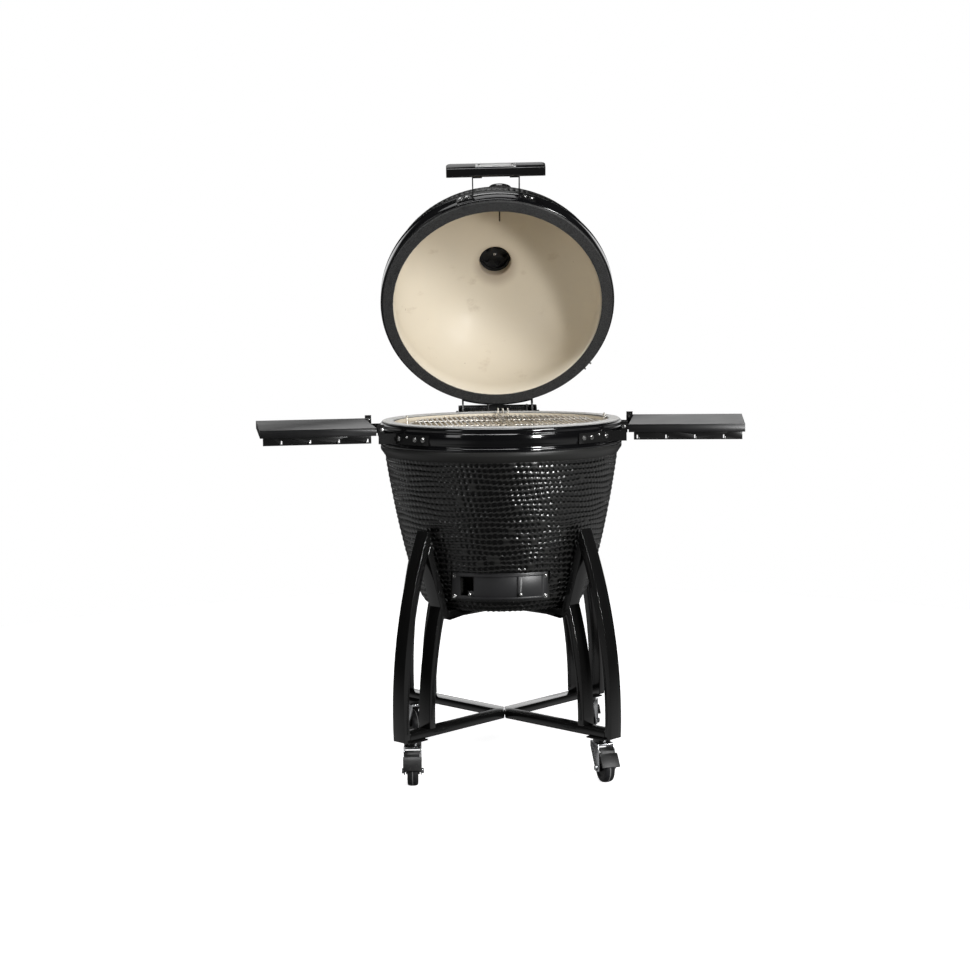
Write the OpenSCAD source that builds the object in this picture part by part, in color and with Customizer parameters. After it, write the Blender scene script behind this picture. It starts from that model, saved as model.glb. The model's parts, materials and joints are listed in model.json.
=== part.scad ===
// Kamado ceramic grill on a four-legged rolling stand, with its lid open.
// The origin is on the floor, on the bowl's axis. The front is -Y and up is +Z.

/* [Bowl] */
// Height of the top of the bowl's gasket
rim_z = 903.5; // [900:0.5:908]
// Outer radius of the ceramic under the steel bands
rim_r = 311; // [310:0.5:312]
// Wall thickness of the ceramic bowl
bowl_wall = 27; // [24:1:30]
// Outer and inner radius of both felt gaskets
gasket_r = [309, 281]; // [270:1:309]

/* [Lid] */
// Angle that the lid stands open
lid_open = 61.3; // [50:0.1:65]
// Height of the hinge pin
hinge_z = 895; // [894:1:896]
// Distance from the bowl's axis back to the hinge pin
hinge_y = 335; // [334:1:337]
// Height of the dome's outer skin above the band
dome_h = 238; // [232:1:244]
// Radius of the hole for the top vent
vent_hole_r = 44; // [40:1:46]

/* [Handle] */
// Length of the handle bar on the side of the lid
handle_l = 257; // [220:1:270]
// Gap between the lid's band and the handle bar
handle_gap = 56; // [50:1:62]

/* [Stand] */
// Width of the flat rectangular tube
tube_w = 40; // [36:1:42]
// Thickness of the flat rectangular tube
tube_t = 20; // [18:1:20]
// Largest radius of the outer legs' outer face
leg_r = 386; // [382:1:388]
// Radius of the curve of the outer legs
leg_bend_r = 1184; // [1150:1:1220]

/* [Casters] */
// Radius of the four casters' circle
caster_r = 338; // [334:1:340]
// Diameter of the caster wheels
wheel_d = 75; // [74:1:76]
// Turn of each caster at rest: front left, front right, rear left, rear right
caster_turn = [0, 17, 200, 165]; // [-180:1:200]

/* [Side tables] */
// Length, depth and lip height of a side table
table_size = [291, 375, 20]; // [15:1:380]
// Turn of each side table towards the front
table_turn = 7.5; // [5:0.5:8]

/* [Draft doors] */
// Turn of the draft opening from straight ahead
draft_turn = -3.5; // [-6:0.5:6]

/* [Cooking grate] */
// Turn of the grate's bars
grate_turn = 4.3; // [0:0.1:10]
// Distance between the grate's bars
bar_pitch = 13.5; // [12:0.5:15]
// Radius of the cooking grate
grate_r = 252; // [240:1:254]
// Sideways and rearward shift of the loose rack and grate in the bowl
grate_shift = [13, 5]; // [0:1:13]

/* [Hidden] */
$fn = 180;
cut = 1;

// Heights of the bowl and its bands
gasket_t = 4;
ceramic_top = rim_z - gasket_t;
band_r = 315;
band_bottom = 842;
belt_z = [840, 832];
belt_r = 313.5;
texture_top = 815;
bowl_bottom = 428;
bowl_floor = bowl_bottom + 28;

// Heights of the closed lid
lid_gasket_bottom = rim_z + 0.5;
lid_gasket_t = 5;
lid_bottom = lid_gasket_bottom + lid_gasket_t;
lid_band_top = lid_bottom + 50;
dome_r = 306;
dome_inner_r = 278;
dome_z = lid_bottom + 48;
dome_wall = 31;
dome_top = dome_z + dome_h;

// Thermometer, as a turn round the lid, an angle up the dome's ellipse, and the tilt of its axis there
gauge_turn = 2.85;
gauge_angle = 40;
gauge_tilt = atan(tan(gauge_angle) * dome_r / dome_h);
gauge_r = 32;
gauge_t = 15;

// Handle bar
handle_turn = -0.65;
handle_t = 25;
handle_h = 33;
handle_z = lid_gasket_bottom + 18;
handle_y = -band_r - handle_gap;
handle_corner_r = 12;
arm_x = 62;
arm_t = 3;

// Hinge
pin_r = 5;
cheek_x = 104;
cheek_t = 5;
upper_cheek_x = 94;
knuckle_r = 18;
guard_y = 366;
guard_z = [861, 917];

// Top vent
vent_plate_r = 62;
vent_pivot_y = 52;
vent_base_top = dome_top + 9;
slide_t = 5;
wheel_plate_t = 4;
petals = 5;
petal_r = 8;
petal_circle_r = 28;

// Stand
leg_bend_z = 170;
leg_bottom = 113;
cross_top = leg_bottom + tube_t;
apex_z = 637;
upper_cross_z = bowl_bottom - tube_t;
knee_z = 440;
knee_r = 250;
brace_slope = 0.307;
inner_leg_r = 295;
inner_leg_bend_r = 957;
inner_leg_bend_z = 150;
corner_turns = [225, 315, 135, 45];

// Casters
axle_z = wheel_d / 2;
trail = 22;
wheel_w = 27;
fork_w = 44;
fork_t = 2.5;
rivet = [-27, 86];
rivet_r = 2.5;
plate_t = 4;

// Side tables
table_corner = [317.5, -174];
table_z = 896;
sheet_t = 2;
rail_z = 857;
rail_h = 18;
table_pin = [-12, 891];
table_pin_r = 3;
ear_t = 3;

// Draft doors
frame_r = 235.5;
frame_z = [463, 531];
window_z = [473, 521];
window_a = 25;
door_t = 1.6;
knob_z = 479;

// Grate and rack
ring_z = 891;
bar_z = 895;
ring_wire_r = 3;
bar_wire_r = 2;
rack_r = 258;
rack_ring_z = 884.7;
fire_ring_top = 780;

// ---------- shared shapes ----------

// A point on a cubic curve with the control points p
function bezier(p, t) = pow(1 - t, 3) * p[0] + 3 * t * pow(1 - t, 2) * p[1]
    + 3 * t * t * (1 - t) * p[2] + pow(t, 3) * p[3];
function curve(p, n) = [for (i = [0:n]) bezier(p, i / n)];

// A ring or part of one; the angles run from the front towards +X
module sector(r, z, a) {
    rotate([0, 0, a[0] - 90])
        rotate_extrude(angle = a[1] - a[0])
            translate([r[0], z[0]]) square([r[1] - r[0], z[1] - z[0]]);
}

module ring(r, z) {
    rotate_extrude() translate([r[0], z[0]]) square([r[1] - r[0], z[1] - z[0]]);
}

// A rod between the points a and b
module rod(a, b, r) {
    v = b - a;
    translate(a)
        rotate([0, acos(v[2] / norm(v)), atan2(v[1], v[0])])
            cylinder(r = r, h = norm(v), $fn = 32);
}

module wire_ring(r, z, wire_r, angle = 360) {
    rotate_extrude(angle = angle) translate([r, z]) circle(r = wire_r, $fn = 32);
}

// A plate across the X direction, drawn as an outline of [y, z] points
module side_plate(x, t, outline) {
    translate([x, 0, 0]) rotate([90, 0, 90]) linear_extrude(t) polygon(outline);
}

// A bolt head that faces out along +Z, with a short shank behind it
module bolt(head_r, head_h, shank_r, shank_l) {
    cylinder(r = head_r, h = head_h, $fn = 6);
    translate([0, 0, -shank_l]) cylinder(r = shank_r, h = shank_l, $fn = 32);
}

// Places its children on a circle of radius r at height z, facing outwards
module facing(r, z, a) {
    rotate([0, 0, a]) translate([0, -r, z]) rotate([90, 0, 0]) children();
}

// Turns the closed lid's pieces to where they stand when it is open
module opened() {
    translate([0, hinge_y, hinge_z]) rotate([-lid_open, 0, 0]) translate([0, -hinge_y, -hinge_z]) children();
}

module mirrored(side) {
    mirror([side < 0 ? 1 : 0, 0, 0]) children();
}

// ---------- stand ----------

// The solid disc inside a curve that bulges outwards to radius r at height z
module bend_disc(r, bend_r, z) {
    translate([r - bend_r, 0, z]) rotate([90, 0, 0]) cylinder(r = bend_r, h = tube_w + cut, center = true, $fn = 256);
}

// An upright slab of the tube's width with an outline of [radius, height] points
module radial_slab(outline) {
    rotate([90, 0, 0]) translate([0, 0, -tube_w / 2]) linear_extrude(tube_w) polygon(outline);
}

function brace_inner(z) = knee_r - tube_t - 2 + (z - knee_z) * brace_slope;

module outer_leg() {
    intersection() {
        difference() {
            bend_disc(leg_r, leg_bend_r, leg_bend_z);
            bend_disc(leg_r - tube_t, leg_bend_r - tube_t, leg_bend_z);
        }
        radial_slab([
            [leg_r - 70, leg_bottom], [leg_r + 5, leg_bottom], [leg_r + 5, apex_z],
            [brace_inner(apex_z), apex_z], [brace_inner(knee_z + 60), knee_z + 60]
        ]);
    }
}

module inner_leg() {
    intersection() {
        difference() {
            bend_disc(inner_leg_r, inner_leg_bend_r, inner_leg_bend_z);
            bend_disc(inner_leg_r - tube_t, inner_leg_bend_r - tube_t, inner_leg_bend_z);
        }
        radial_slab([
            [inner_leg_r - 90, cross_top], [inner_leg_r + 5, cross_top],
            [inner_leg_r + 5, knee_z], [inner_leg_r - 90, knee_z]
        ]);
    }
}

module brace() {
    difference() {
        radial_slab([
            [brace_inner(upper_cross_z), upper_cross_z], [knee_r, upper_cross_z], [knee_r, knee_z],
            [brace_inner(apex_z) + tube_t + 2, apex_z], [brace_inner(apex_z), apex_z]
        ]);
        bend_disc_outside();
    }
}

// What lies outside the outer leg's inner face
module bend_disc_outside() {
    difference() {
        translate([knee_r - 30, -tube_w, knee_z]) cube([200, 2 * tube_w, 220]);
        bend_disc(leg_r - tube_t, leg_bend_r - tube_t, leg_bend_z);
    }
}

// One half of a cross, whose arms reach out to radius r
module cross_half(side, r, z) {
    intersection() {
        for (turn = [-45, 45])
            mirrored(side) rotate([0, 0, turn]) translate([0, -tube_w / 2, z]) cube([r, tube_w, tube_t]);
        mirrored(side) translate([1, -r, z - cut]) cube([r, 2 * r, tube_t + 2 * cut]);
    }
}

module stand_leg(corner) {
    color("#232322") rotate([0, 0, corner_turns[corner]]) outer_leg();
}

module stand_brace_frame(side) {
    color("#232322") {
        cross_half(side, brace_inner(upper_cross_z) + 2, upper_cross_z);
        for (turn = [-45, 45])
            mirrored(side) rotate([0, 0, turn]) {
                inner_leg();
                brace();
            }
    }
}

module lower_cross(side) {
    color("#232322") difference() {
        cross_half(side, leg_r, leg_bottom);
        for (turn = [-45, 45])
            mirrored(side) rotate([0, 0, turn]) difference() {
                translate([leg_r - 40, -tube_w, leg_bottom - cut]) cube([80, 2 * tube_w, tube_t + 2 * cut]);
                bend_disc(leg_r - tube_t, leg_bend_r - tube_t, leg_bend_z);
            }
    }
}

module stand_bolts() {
    color("silver") for (z = [leg_bottom + tube_t / 2, upper_cross_z + tube_t / 2], side = [-1, 1])
        translate([0, side * 12, z]) rotate([0, 90, 0])
            translate([0, 0, -1]) cylinder(r = 4, h = 2, $fn = 32);
}

// ---------- casters ----------

// Places its children at a corner's caster, on the floor, turned as the caster stands
module at_caster(corner) {
    turn = corner_turns[corner];
    translate([caster_r * cos(turn), caster_r * sin(turn), 0]) rotate([0, 0, caster_turn[corner]]) children();
}

module caster_plates() {
    color("#2b2b2b") for (turn = corner_turns)
        rotate([0, 0, turn]) translate([caster_r, 0, 0]) {
            translate([-28, -28, leg_bottom - plate_t]) cube([56, 56, plate_t]);
            translate([0, 0, 99.5]) cylinder(r = 22, h = leg_bottom - plate_t - 99.5);
            translate([0, 0, 91]) cylinder(r = 5.95, h = 10);
        }
}

// The fork's cheeks run from the crown down and forward to the axle
module fork_cheek(x) {
    side_plate(x, fork_t, [
        [24, 99], [24, 84], [-trail + 13, 30], [-trail, 26], [-trail - 13, 32], [-36, 70], [-31, 99]
    ]);
}

module caster_fork(corner) {
    color("#b9bbbd") at_caster(corner) difference() {
        union() {
            fork_cheek(-fork_w / 2);
            fork_cheek(fork_w / 2 - fork_t);
            translate([-fork_w / 2, -30, 94]) cube([fork_w, 54, 5]);
            translate([0, rivet[0], rivet[1]]) rotate([0, 90, 0]) cylinder(r = rivet_r, h = fork_w + 1, center = true);
            translate([0, -trail, axle_z]) rotate([0, 90, 0]) {
                cylinder(r = 4, h = fork_w + 8, center = true);
                for (side = [-1, 1])
                    translate([0, 0, side * (fork_w / 2 + 3)]) cylinder(r = 7, h = 6, center = true, $fn = 6);
            }
        }
        translate([0, 0, 90]) cylinder(r = 6, h = 12);
    }
}

module caster_wheel(corner) {
    groove = 3;
    color("#1c1c1d") at_caster(corner) translate([0, -trail, axle_z]) rotate([0, 90, 0])
        rotate_extrude() polygon([
            [4.05, -wheel_w / 2 - 4], [9, -wheel_w / 2 - 4], [10, -wheel_w / 2 + groove],
            [25, -wheel_w / 2 + groove], [28, -wheel_w / 2], [axle_z - 5, -wheel_w / 2],
            [axle_z - 1, -wheel_w / 2 + 4], [axle_z, -wheel_w / 2 + 9],
            [axle_z, wheel_w / 2 - 9], [axle_z - 1, wheel_w / 2 - 4],
            [axle_z - 5, wheel_w / 2], [28, wheel_w / 2], [25, wheel_w / 2 - groove],
            [10, wheel_w / 2 - groove], [9, wheel_w / 2 + 4], [4.05, wheel_w / 2 + 4]
        ]);
}

// The pedal turns on a rivet between the cheeks, above and in front of the wheel
module caster_brake(corner) {
    color("#1a1a1a") at_caster(corner) difference() {
        union() {
            translate([0, rivet[0], rivet[1]]) rotate([0, 90, 0]) cylinder(r = 4.5, h = 38, center = true);
            side_plate(-19, 38, [[-27, 90], [-31, 91], [-41, 84], [-44, 76], [-40, 74], [-38, 80], [-30, 84]]);
            side_plate(-23.5, 47, [[-44, 78], [-51, 71], [-66, 48], [-64, 46], [-48, 69.5], [-41, 75]]);
        }
        translate([0, rivet[0], rivet[1]]) rotate([0, 90, 0])
            cylinder(r = rivet_r + 0.05, h = fork_w, center = true);
    }
}

// ---------- bowl ----------

bowl_curve = curve([[299.8, texture_top], [281.3, 681], [230.3, bowl_bottom], [192.3, bowl_bottom]], 30);
bowl_inner_curve = curve([
    [275.5, texture_top], [284 - bowl_wall, 681], [233 - bowl_wall, bowl_floor], [170, bowl_floor]
], 24);

function reversed(list) = [for (i = [len(list) - 1:-1:0]) list[i]];

module bowl() {
    color("#20201f") difference() {
        union() {
            rotate_extrude() polygon(concat(
                [[0, bowl_bottom], [0, bowl_floor]],
                reversed(bowl_inner_curve),
                [[277, ceramic_top], [rim_r, ceramic_top], [rim_r, belt_z[0] + 1],
                 [belt_r - 1.5, belt_z[0]], [belt_r, belt_z[0] - 2], [belt_r, belt_z[1]]],
                bowl_curve
            ));
            sector([200, frame_r - 0.5], [frame_z[0] - 4, 500], [draft_turn - 32, draft_turn + 32]);
        }
        sector([frame_r - 0.5, 270], [frame_z[0] - 5, frame_z[1] + 3], [draft_turn - 31.5, draft_turn + 31.5]);
        sector([150, 260], [window_z[0] - 2, window_z[1] + 2], [draft_turn - window_a - 1, draft_turn + window_a + 1]);
    }
}

module bowl_band() {
    color("#191919") rotate_extrude() polygon([
        [rim_r, band_bottom], [band_r - 2, band_bottom], [band_r, band_bottom + 2], [band_r, 848], [band_r - 2, 850],
        [band_r - 2.5, 852], [band_r - 2.5, 858], [band_r - 1, 860], [band_r, 862],
        [band_r, 884], [band_r - 1, 886], [band_r - 2.5, 887], [band_r - 2.5, 889],
        [band_r - 1, 890.5], [band_r - 0.5, 894], [band_r - 1.5, 897], [band_r - 3, ceramic_top], [rim_r, ceramic_top]
    ]);
}

module bowl_gasket() {
    color("#b4b4b2") ring([gasket_r[1], gasket_r[0]], [ceramic_top, rim_z]);
}

module fire_box() {
    color("#d6c6a6") difference() {
        rotate_extrude() polygon([
            [150, bowl_floor], [180, 486], [210, 580], [224, 640], [203, 640], [190, 582],
            [170, 508], [150, 508], [150, 494], [122, 474], [122, bowl_floor]
        ]);
        sector([110, 200], [bowl_floor + 8, 500], [draft_turn - 24, draft_turn + 24]);
        for (a = [60:40:300])
            rotate([0, 0, a - 90]) translate([150, 0, 478]) rotate([0, 90, 0]) cylinder(r = 9, h = 80, center = true);
    }
}

module fire_ring() {
    color("#dccdb0") rotate_extrude() polygon([
        [208, 640], [228, 640], [238, 680], [254, fire_ring_top], [234, fire_ring_top], [217, 680]
    ]);
}

module charcoal_grate() {
    grate_z = 508;
    color("#3a3a3a") translate([0, 0, grate_z]) difference() {
        cylinder(r = 164, h = 10);
        for (i = [-5:5])
            let (x = i * 26, slot_l = sqrt(146 * 146 - x * x))
                for (side = [-1, 1])
                    translate([x - 8, side < 0 ? -slot_l : 8, -cut]) cube([16, slot_l - 8, 10 + 2 * cut]);
    }
}

// Places its children on the loose rack's own centre
module on_rack() {
    translate([grate_shift[0], grate_shift[1], 0]) children();
}

module grid_rack() {
    wire_r = 3;
    foot_z = fire_ring_top + wire_r;
    foot_r = rack_r - 17;
    tall_posts = [-2, 2, 87, 90, 93, 178, 182];
    front_posts = [268, 272];
    color("#c9c9c6") on_rack() {
        wire_ring(foot_r, foot_z, wire_r);
        wire_ring(rack_r - 6, rack_ring_z, wire_r);
        for (a = concat(tall_posts, front_posts)) {
            top = a > 260 ? rack_ring_z + 3 : bar_z + 19;
            rotate([0, 0, a]) {
                rod([foot_r, 0, foot_z], [rack_r, 0, foot_z + 30], 2.5);
                rod([rack_r, 0, foot_z + 30], [rack_r, 0, top], 2.5);
                translate([rack_r, 0, foot_z + 30]) sphere(r = 2.5, $fn = 32);
                rod([rack_r - 6, 0, rack_ring_z], [rack_r, 0, rack_ring_z], 2.5);
            }
        }
    }
}

// One half-moon grate: bars from front to back on an edge wire and two cross wires
module cooking_grate(side) {
    edge_gap = 1.5;
    edge_wire_r = 3.2;
    cross_wire_r = 2.6;
    first_bar = 9;
    last_bar = 16;
    cross_y = [-90, 90];
    ring_r = grate_r - ring_wire_r;
    edge_x = edge_gap + edge_wire_r;
    edge_l = sqrt(ring_r * ring_r - edge_x * edge_x);
    color("#d3d1cb") on_rack() rotate([0, 0, grate_turn]) mirrored(side) {
        intersection() {
            wire_ring(ring_r, ring_z, ring_wire_r);
            translate([edge_x, -300, 800]) cube([300, 600, 200]);
        }
        rod([edge_x, -edge_l, ring_z], [edge_x, edge_l, ring_z], edge_wire_r);
        for (y = cross_y)
            rod([edge_x, y, ring_z + 0.4], [sqrt(ring_r * ring_r - y * y), y, ring_z + 0.4], cross_wire_r);
        for (i = [0:last_bar])
            let (x = first_bar + i * bar_pitch, half = sqrt(pow(ring_r + 1, 2) - x * x))
                rod([x, -half, bar_z], [x, half, bar_z], bar_wire_r);
    }
}

// ---------- draft doors ----------

module draft_frame() {
    r = [frame_r, frame_r + 2.5];
    color("#2a2a2a") rotate([0, 0, draft_turn]) {
        difference() {
            sector(r, frame_z, [-30.5, 30.5]);
            sector([frame_r - 5, frame_r + 5], window_z, [-window_a, window_a]);
        }
        for (z = [[frame_z[0] + 3, frame_z[0] + 5], [frame_z[1] - 5, frame_z[1] - 3]])
            sector([frame_r + 2, frame_r + 9.5], z, [-27, 27]);
        sector([frame_r + 8, frame_r + 9.5], [frame_z[0] + 3, frame_z[0] + 8], [-27, 27]);
        sector([frame_r + 8, frame_r + 9.5], [frame_z[1] - 8, frame_z[1] - 3], [-27, 27]);
    }
}

// A curved door sheet with a ball knob near its left end
module draft_door(r, a, knob_a) {
    color("#2e2e2e") rotate([0, 0, draft_turn]) {
        sector([r, r + door_t], [frame_z[0] + 6, frame_z[1] - 6], a);
        facing(r + door_t - 0.5, knob_z, knob_a) cylinder(r = 2, h = 8);
        facing(r + door_t + 9, knob_z, knob_a) sphere(r = 4.6, $fn = 64);
    }
}

// The left door's knob stands on a tab beyond its sheet
module draft_door_left() {
    r = frame_r + 3;
    draft_door(r, [-15.8, 13], -17.5);
    color("#2e2e2e") rotate([0, 0, draft_turn])
        sector([r + 0.2, r + door_t - 0.2], [knob_z - 7, knob_z + 7], [-19.5, -15.3]);
}

module draft_door_right() {
    draft_door(frame_r + 5.6, [10.7, 26.3], 12.5);
}

// Bolts of the draft frame, the table brackets and the rear hinge on the bowl
module bowl_bolts() {
    color("silver") {
        for (a = [-28.9, 28.9], z = [469.5, 522])
            rotate([0, 0, draft_turn]) facing(frame_r + 2.5, z, a) bolt(5.5, 3.5, 2.5, 8);
        for (side = [-1, 1], a = [39, 43.8, 55])
            facing(bracket_r + 3, 869, side * a) bolt(5.5, 4, 3, 5);
        for (side = [-1, 1])
            facing(bracket_r + 3, 874, side * 49) bolt(3, 2.5, 1.5, 4);
        for (side = [-1, 1])
            facing(band_r + 4, 866, 180 + side * 8) bolt(6, 4, 3, 6);
    }
}

// ---------- side tables ----------

bracket_r = band_r + 0.3;

// Places its children in the right table's own frame, or mirrored for the left one
module at_table(side) {
    mirrored(side) translate([table_corner[0], table_corner[1], 0]) rotate([0, 0, -table_turn]) children();
}

// A curved strap on the band whose end turns out to an upright ear at the table's edge.
// The front and rear straps end at different distances from the band.
module table_bracket(side) {
    ear_y = [-ear_t - 0.4, table_size[1] + 0.4];
    ear_inner_x = [-50, -138];
    color("#1d1d1d") {
        mirrored(side) for (a = [[36, 61], [119, 146]])
            sector([bracket_r, bracket_r + 3], [855, 881], a);
        at_table(side) for (i = [0, 1]) {
            translate([ear_inner_x[i], ear_y[i], 855]) cube([-5 - ear_inner_x[i], ear_t, 26]);
            difference() {
                translate([-20, ear_y[i], 876]) cube([17, ear_t, 28]);
                translate([table_pin[0], ear_y[i] - cut, table_pin[1]]) rotate([-90, 0, 0])
                    cylinder(r = table_pin_r + 0.05, h = ear_t + 2 * cut);
            }
        }
    }
}

module table_pins() {
    color("silver") for (side = [-1, 1]) at_table(side)
        for (y = [-ear_t - 3, table_size[1] - 6])
            translate([table_pin[0], y, table_pin[1]]) rotate([-90, 0, 0]) {
                cylinder(r = table_pin_r, h = 12);
                translate([0, 0, y < 0 ? -0.5 : 9.5]) cylinder(r = 5.5, h = 3, $fn = 6);
            }
}

// A folded sheet with lips on its front, rear and outer edges and two ears for the pins
module table_top(side) {
    l = table_size[0];
    d = table_size[1];
    lip = table_size[2];
    color("#3c3d3e") at_table(side) {
        translate([0, 0, table_z - sheet_t]) cube([l, d, sheet_t]);
        translate([l - sheet_t, 0, table_z - lip]) cube([sheet_t, d, lip]);
        for (y = [0, d - sheet_t])
            translate([0, y, table_z - lip]) cube([l, sheet_t, lip]);
        for (y = [0, d - sheet_t]) difference() {
            translate([-20, y, table_z - 13]) cube([21, sheet_t, 13]);
            translate([table_pin[0], y - cut, table_pin[1]]) rotate([-90, 0, 0])
                cylinder(r = table_pin_r + 0.05, h = sheet_t + 2 * cut);
        }
    }
}

// Rails under the front and rear lips, with tool hooks along the front one
module table_rails(side) {
    rail_x = [13, 284];
    rail_l = rail_x[1] - rail_x[0];
    hooks = [20, 92, 164, 236];
    color("#1d1d1d") at_table(side) {
        for (y = [sheet_t, table_size[1] - sheet_t - 3]) difference() {
            translate([rail_x[0], y, rail_z]) cube([rail_l, 3, table_z - sheet_t - rail_z]);
            if (y < 50)
                for (x = hooks) translate([x, y - cut, rail_z + 3]) cube([3, 3 + 2 * cut, 9]);
        }
        for (x = hooks) {
            translate([x + 3.6, -3, rail_z + 1]) cube([2.4, 6, 3]);
            translate([x + 3.6, -4.5, rail_z + 1]) cube([2.4, 2, 7]);
        }
        for (x = [60, 230])
            translate([x, 2 + sheet_t, table_z - sheet_t - 12]) cube([20, table_size[1] - 2 * sheet_t - 4, 12]);
    }
}

// ---------- hinge ----------

// Outline of a hinge cheek: round about the pin, and flat against its band.
// A guard sheet behind the springs joins the two lower cheeks.
function arc(centre, r, a0, a1) = [for (i = [0:16])
    let (a = a0 + (a1 - a0) * i / 16) [centre[0] + r * cos(a), centre[1] + r * sin(a)]];
function knuckle(a0, a1) = arc([hinge_y, hinge_z], knuckle_r, a0, a1);

module hinge_lower_bracket() {
    base_r = [band_r + 0.3, band_r + 4.3];
    color("#1b1b1b") difference() {
        union() {
            sector(base_r, [861, 872], [180 - 20, 180 + 20]);
            translate([-cheek_x - 1, guard_y - 3, guard_z[0]]) cube([2 * cheek_x + 2, 3, guard_z[1] - guard_z[0]]);
            for (side = [-1, 1]) {
                sector([base_r[0] + 0.5, base_r[1] - 0.5], [863, 885], [180 + side * 18.8 - 3, 180 + side * 18.8 + 3]);
                side_plate(side < 0 ? -cheek_x - cheek_t : cheek_x, cheek_t, concat(
                    [[299.5, 885], [299.5, guard_z[0]], [guard_y, guard_z[0]], [guard_y, guard_z[1]], [hinge_y, guard_z[1]]],
                    knuckle(90, 120)));
            }
        }
        hinge_bore(pin_r + 0.02);
    }
}

module hinge_bore(r) {
    translate([0, hinge_y, hinge_z]) rotate([0, 90, 0]) cylinder(r = r, h = 300, center = true);
}

module hinge_upper_bracket() {
    base_r = [band_r + 0.3, band_r + 4.3];
    color("#1b1b1b") opened() difference() {
        union() {
            sector(base_r, [lid_bottom + 5, lid_band_top - 5], [180 - 18, 180 + 18]);
            for (side = [-1, 1])
                side_plate(side < 0 ? -upper_cheek_x - cheek_t : upper_cheek_x, cheek_t, concat(
                    [[304, lid_band_top - 5], [304, lid_bottom + 5]], knuckle(-150, 45)));
        }
        hinge_bore(pin_r + 0.05);
    }
}

module hinge_pin() {
    color("silver") translate([0, hinge_y, hinge_z]) rotate([0, 90, 0]) {
        cylinder(r = pin_r, h = 2 * (cheek_x + cheek_t) + 6, center = true);
        for (side = [-1, 1])
            translate([0, 0, side * (cheek_x + cheek_t + 4)]) cylinder(r = 8.5, h = 6, center = true, $fn = 6);
    }
}

// Two close-wound springs on the pin, each as a sleeve with one rounded ridge for each turn
module hinge_springs() {
    wire_r = 3;
    coil_r = 15;
    turns = 10;
    start_x = 24;
    color("#262626") for (side = [-1, 1])
        translate([0, hinge_y, hinge_z]) rotate([0, side * 90, 0]) translate([0, 0, start_x])
            rotate_extrude() {
                for (i = [0:turns - 1])
                    translate([coil_r, (2 * i + 1) * wire_r]) circle(r = wire_r, $fn = 24);
                translate([coil_r - 1.5, wire_r]) square([3, 2 * wire_r * (turns - 1)]);
            }
}

// ---------- lid ----------

// Points up an ellipse of radius r and height h above z, from its foot to its top
function ellipse(r, h, z, n) = [for (i = [0:n]) let (a = 90 * i / n) [r * cos(a), z + h * sin(a)]];

module on_gauge() {
    rotate([0, 0, gauge_turn]) translate([0, -dome_r * cos(gauge_angle), dome_z + dome_h * sin(gauge_angle)])
        rotate([90 - gauge_tilt, 0, 0]) children();
}

module lid_dome() {
    color("#20201f") opened() difference() {
        rotate_extrude() polygon(concat(
            [[rim_r, lid_bottom], [rim_r, dome_z - 2], [rim_r - 1, dome_z]],
            ellipse(dome_r, dome_h, dome_z, 36),
            reversed(ellipse(dome_inner_r, dome_h - dome_wall, dome_z, 30)),
            [[dome_inner_r, lid_bottom]]
        ));
        cylinder(r = vent_hole_r, h = 2 * dome_top);
        on_gauge() cylinder(r = 5, h = 200, center = true);
    }
}

module lid_band() {
    color("#191919") opened() rotate_extrude() polygon([
        [rim_r, lid_bottom + 1], [band_r - 3, lid_bottom + 1], [band_r - 1.5, lid_bottom + 3], [band_r, lid_bottom + 6],
        [band_r, lid_band_top - 12], [band_r - 2, lid_band_top - 10], [band_r - 2, lid_band_top - 7],
        [band_r, lid_band_top - 5], [band_r, lid_band_top - 2], [band_r - 1.5, lid_band_top], [dome_r + 1, lid_band_top],
        [dome_r + 1, lid_band_top - 1.8], [rim_r, lid_band_top - 2]
    ]);
}

module lid_gasket() {
    color("#4a4b4c") opened() ring([gasket_r[1], gasket_r[0]], [lid_gasket_bottom, lid_bottom]);
}

// Bolts of the handle arms and of the hinge's upper bracket
module lid_bolts() {
    color("silver") opened() {
        for (side = [-1, 1], a = [13.8, 17])
            facing(band_r + 3, lid_bottom + 24, handle_turn + side * a) bolt(5, 3.5, 2.5, 6);
        for (side = [-1, 1])
            facing(band_r + 4, lid_bottom + 19, 180 + side * 8) bolt(6, 4, 3, 6);
        for (a = [127, 131])
            facing(band_r - 0.5, lid_bottom + 14, a) bolt(4, 8, 2.5, 3);
    }
}

// Places its children on the open lid, turned as the handle is
module on_handle() {
    opened() rotate([0, 0, handle_turn]) children();
}

module handle_bar() {
    corner = [handle_l / 2 - handle_corner_r, handle_h - handle_corner_r];
    color("#151515") on_handle() translate([0, handle_y, handle_z]) rotate([90, 0, 0]) linear_extrude(handle_t)
        polygon(concat(
            [[-handle_l / 2, 0], [handle_l / 2, 0]],
            arc(corner, handle_corner_r, 0, 90),
            arc([-corner[0], corner[1]], handle_corner_r, 90, 180)
        ));
}

// Two straps: each has a foot on the band, a flat arm and a flange under the bar
module handle_arms() {
    strap_z = [lid_bottom + 14, lid_bottom + 34];
    strap_h = strap_z[1] - strap_z[0];
    flange = 26;
    color("#1c1c1c") on_handle() for (side = [-1, 1]) {
        sector([band_r + 0.2, band_r + 3], strap_z, side < 0 ? [-18.9, -11] : [11, 18.9]);
        mirrored(side) translate([arm_x - arm_t, handle_y, strap_z[0]]) {
            cube([arm_t, handle_gap + 4.5, strap_h]);
            translate([arm_t - flange, 0, 0]) cube([flange, arm_t, strap_h]);
        }
    }
}

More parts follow.
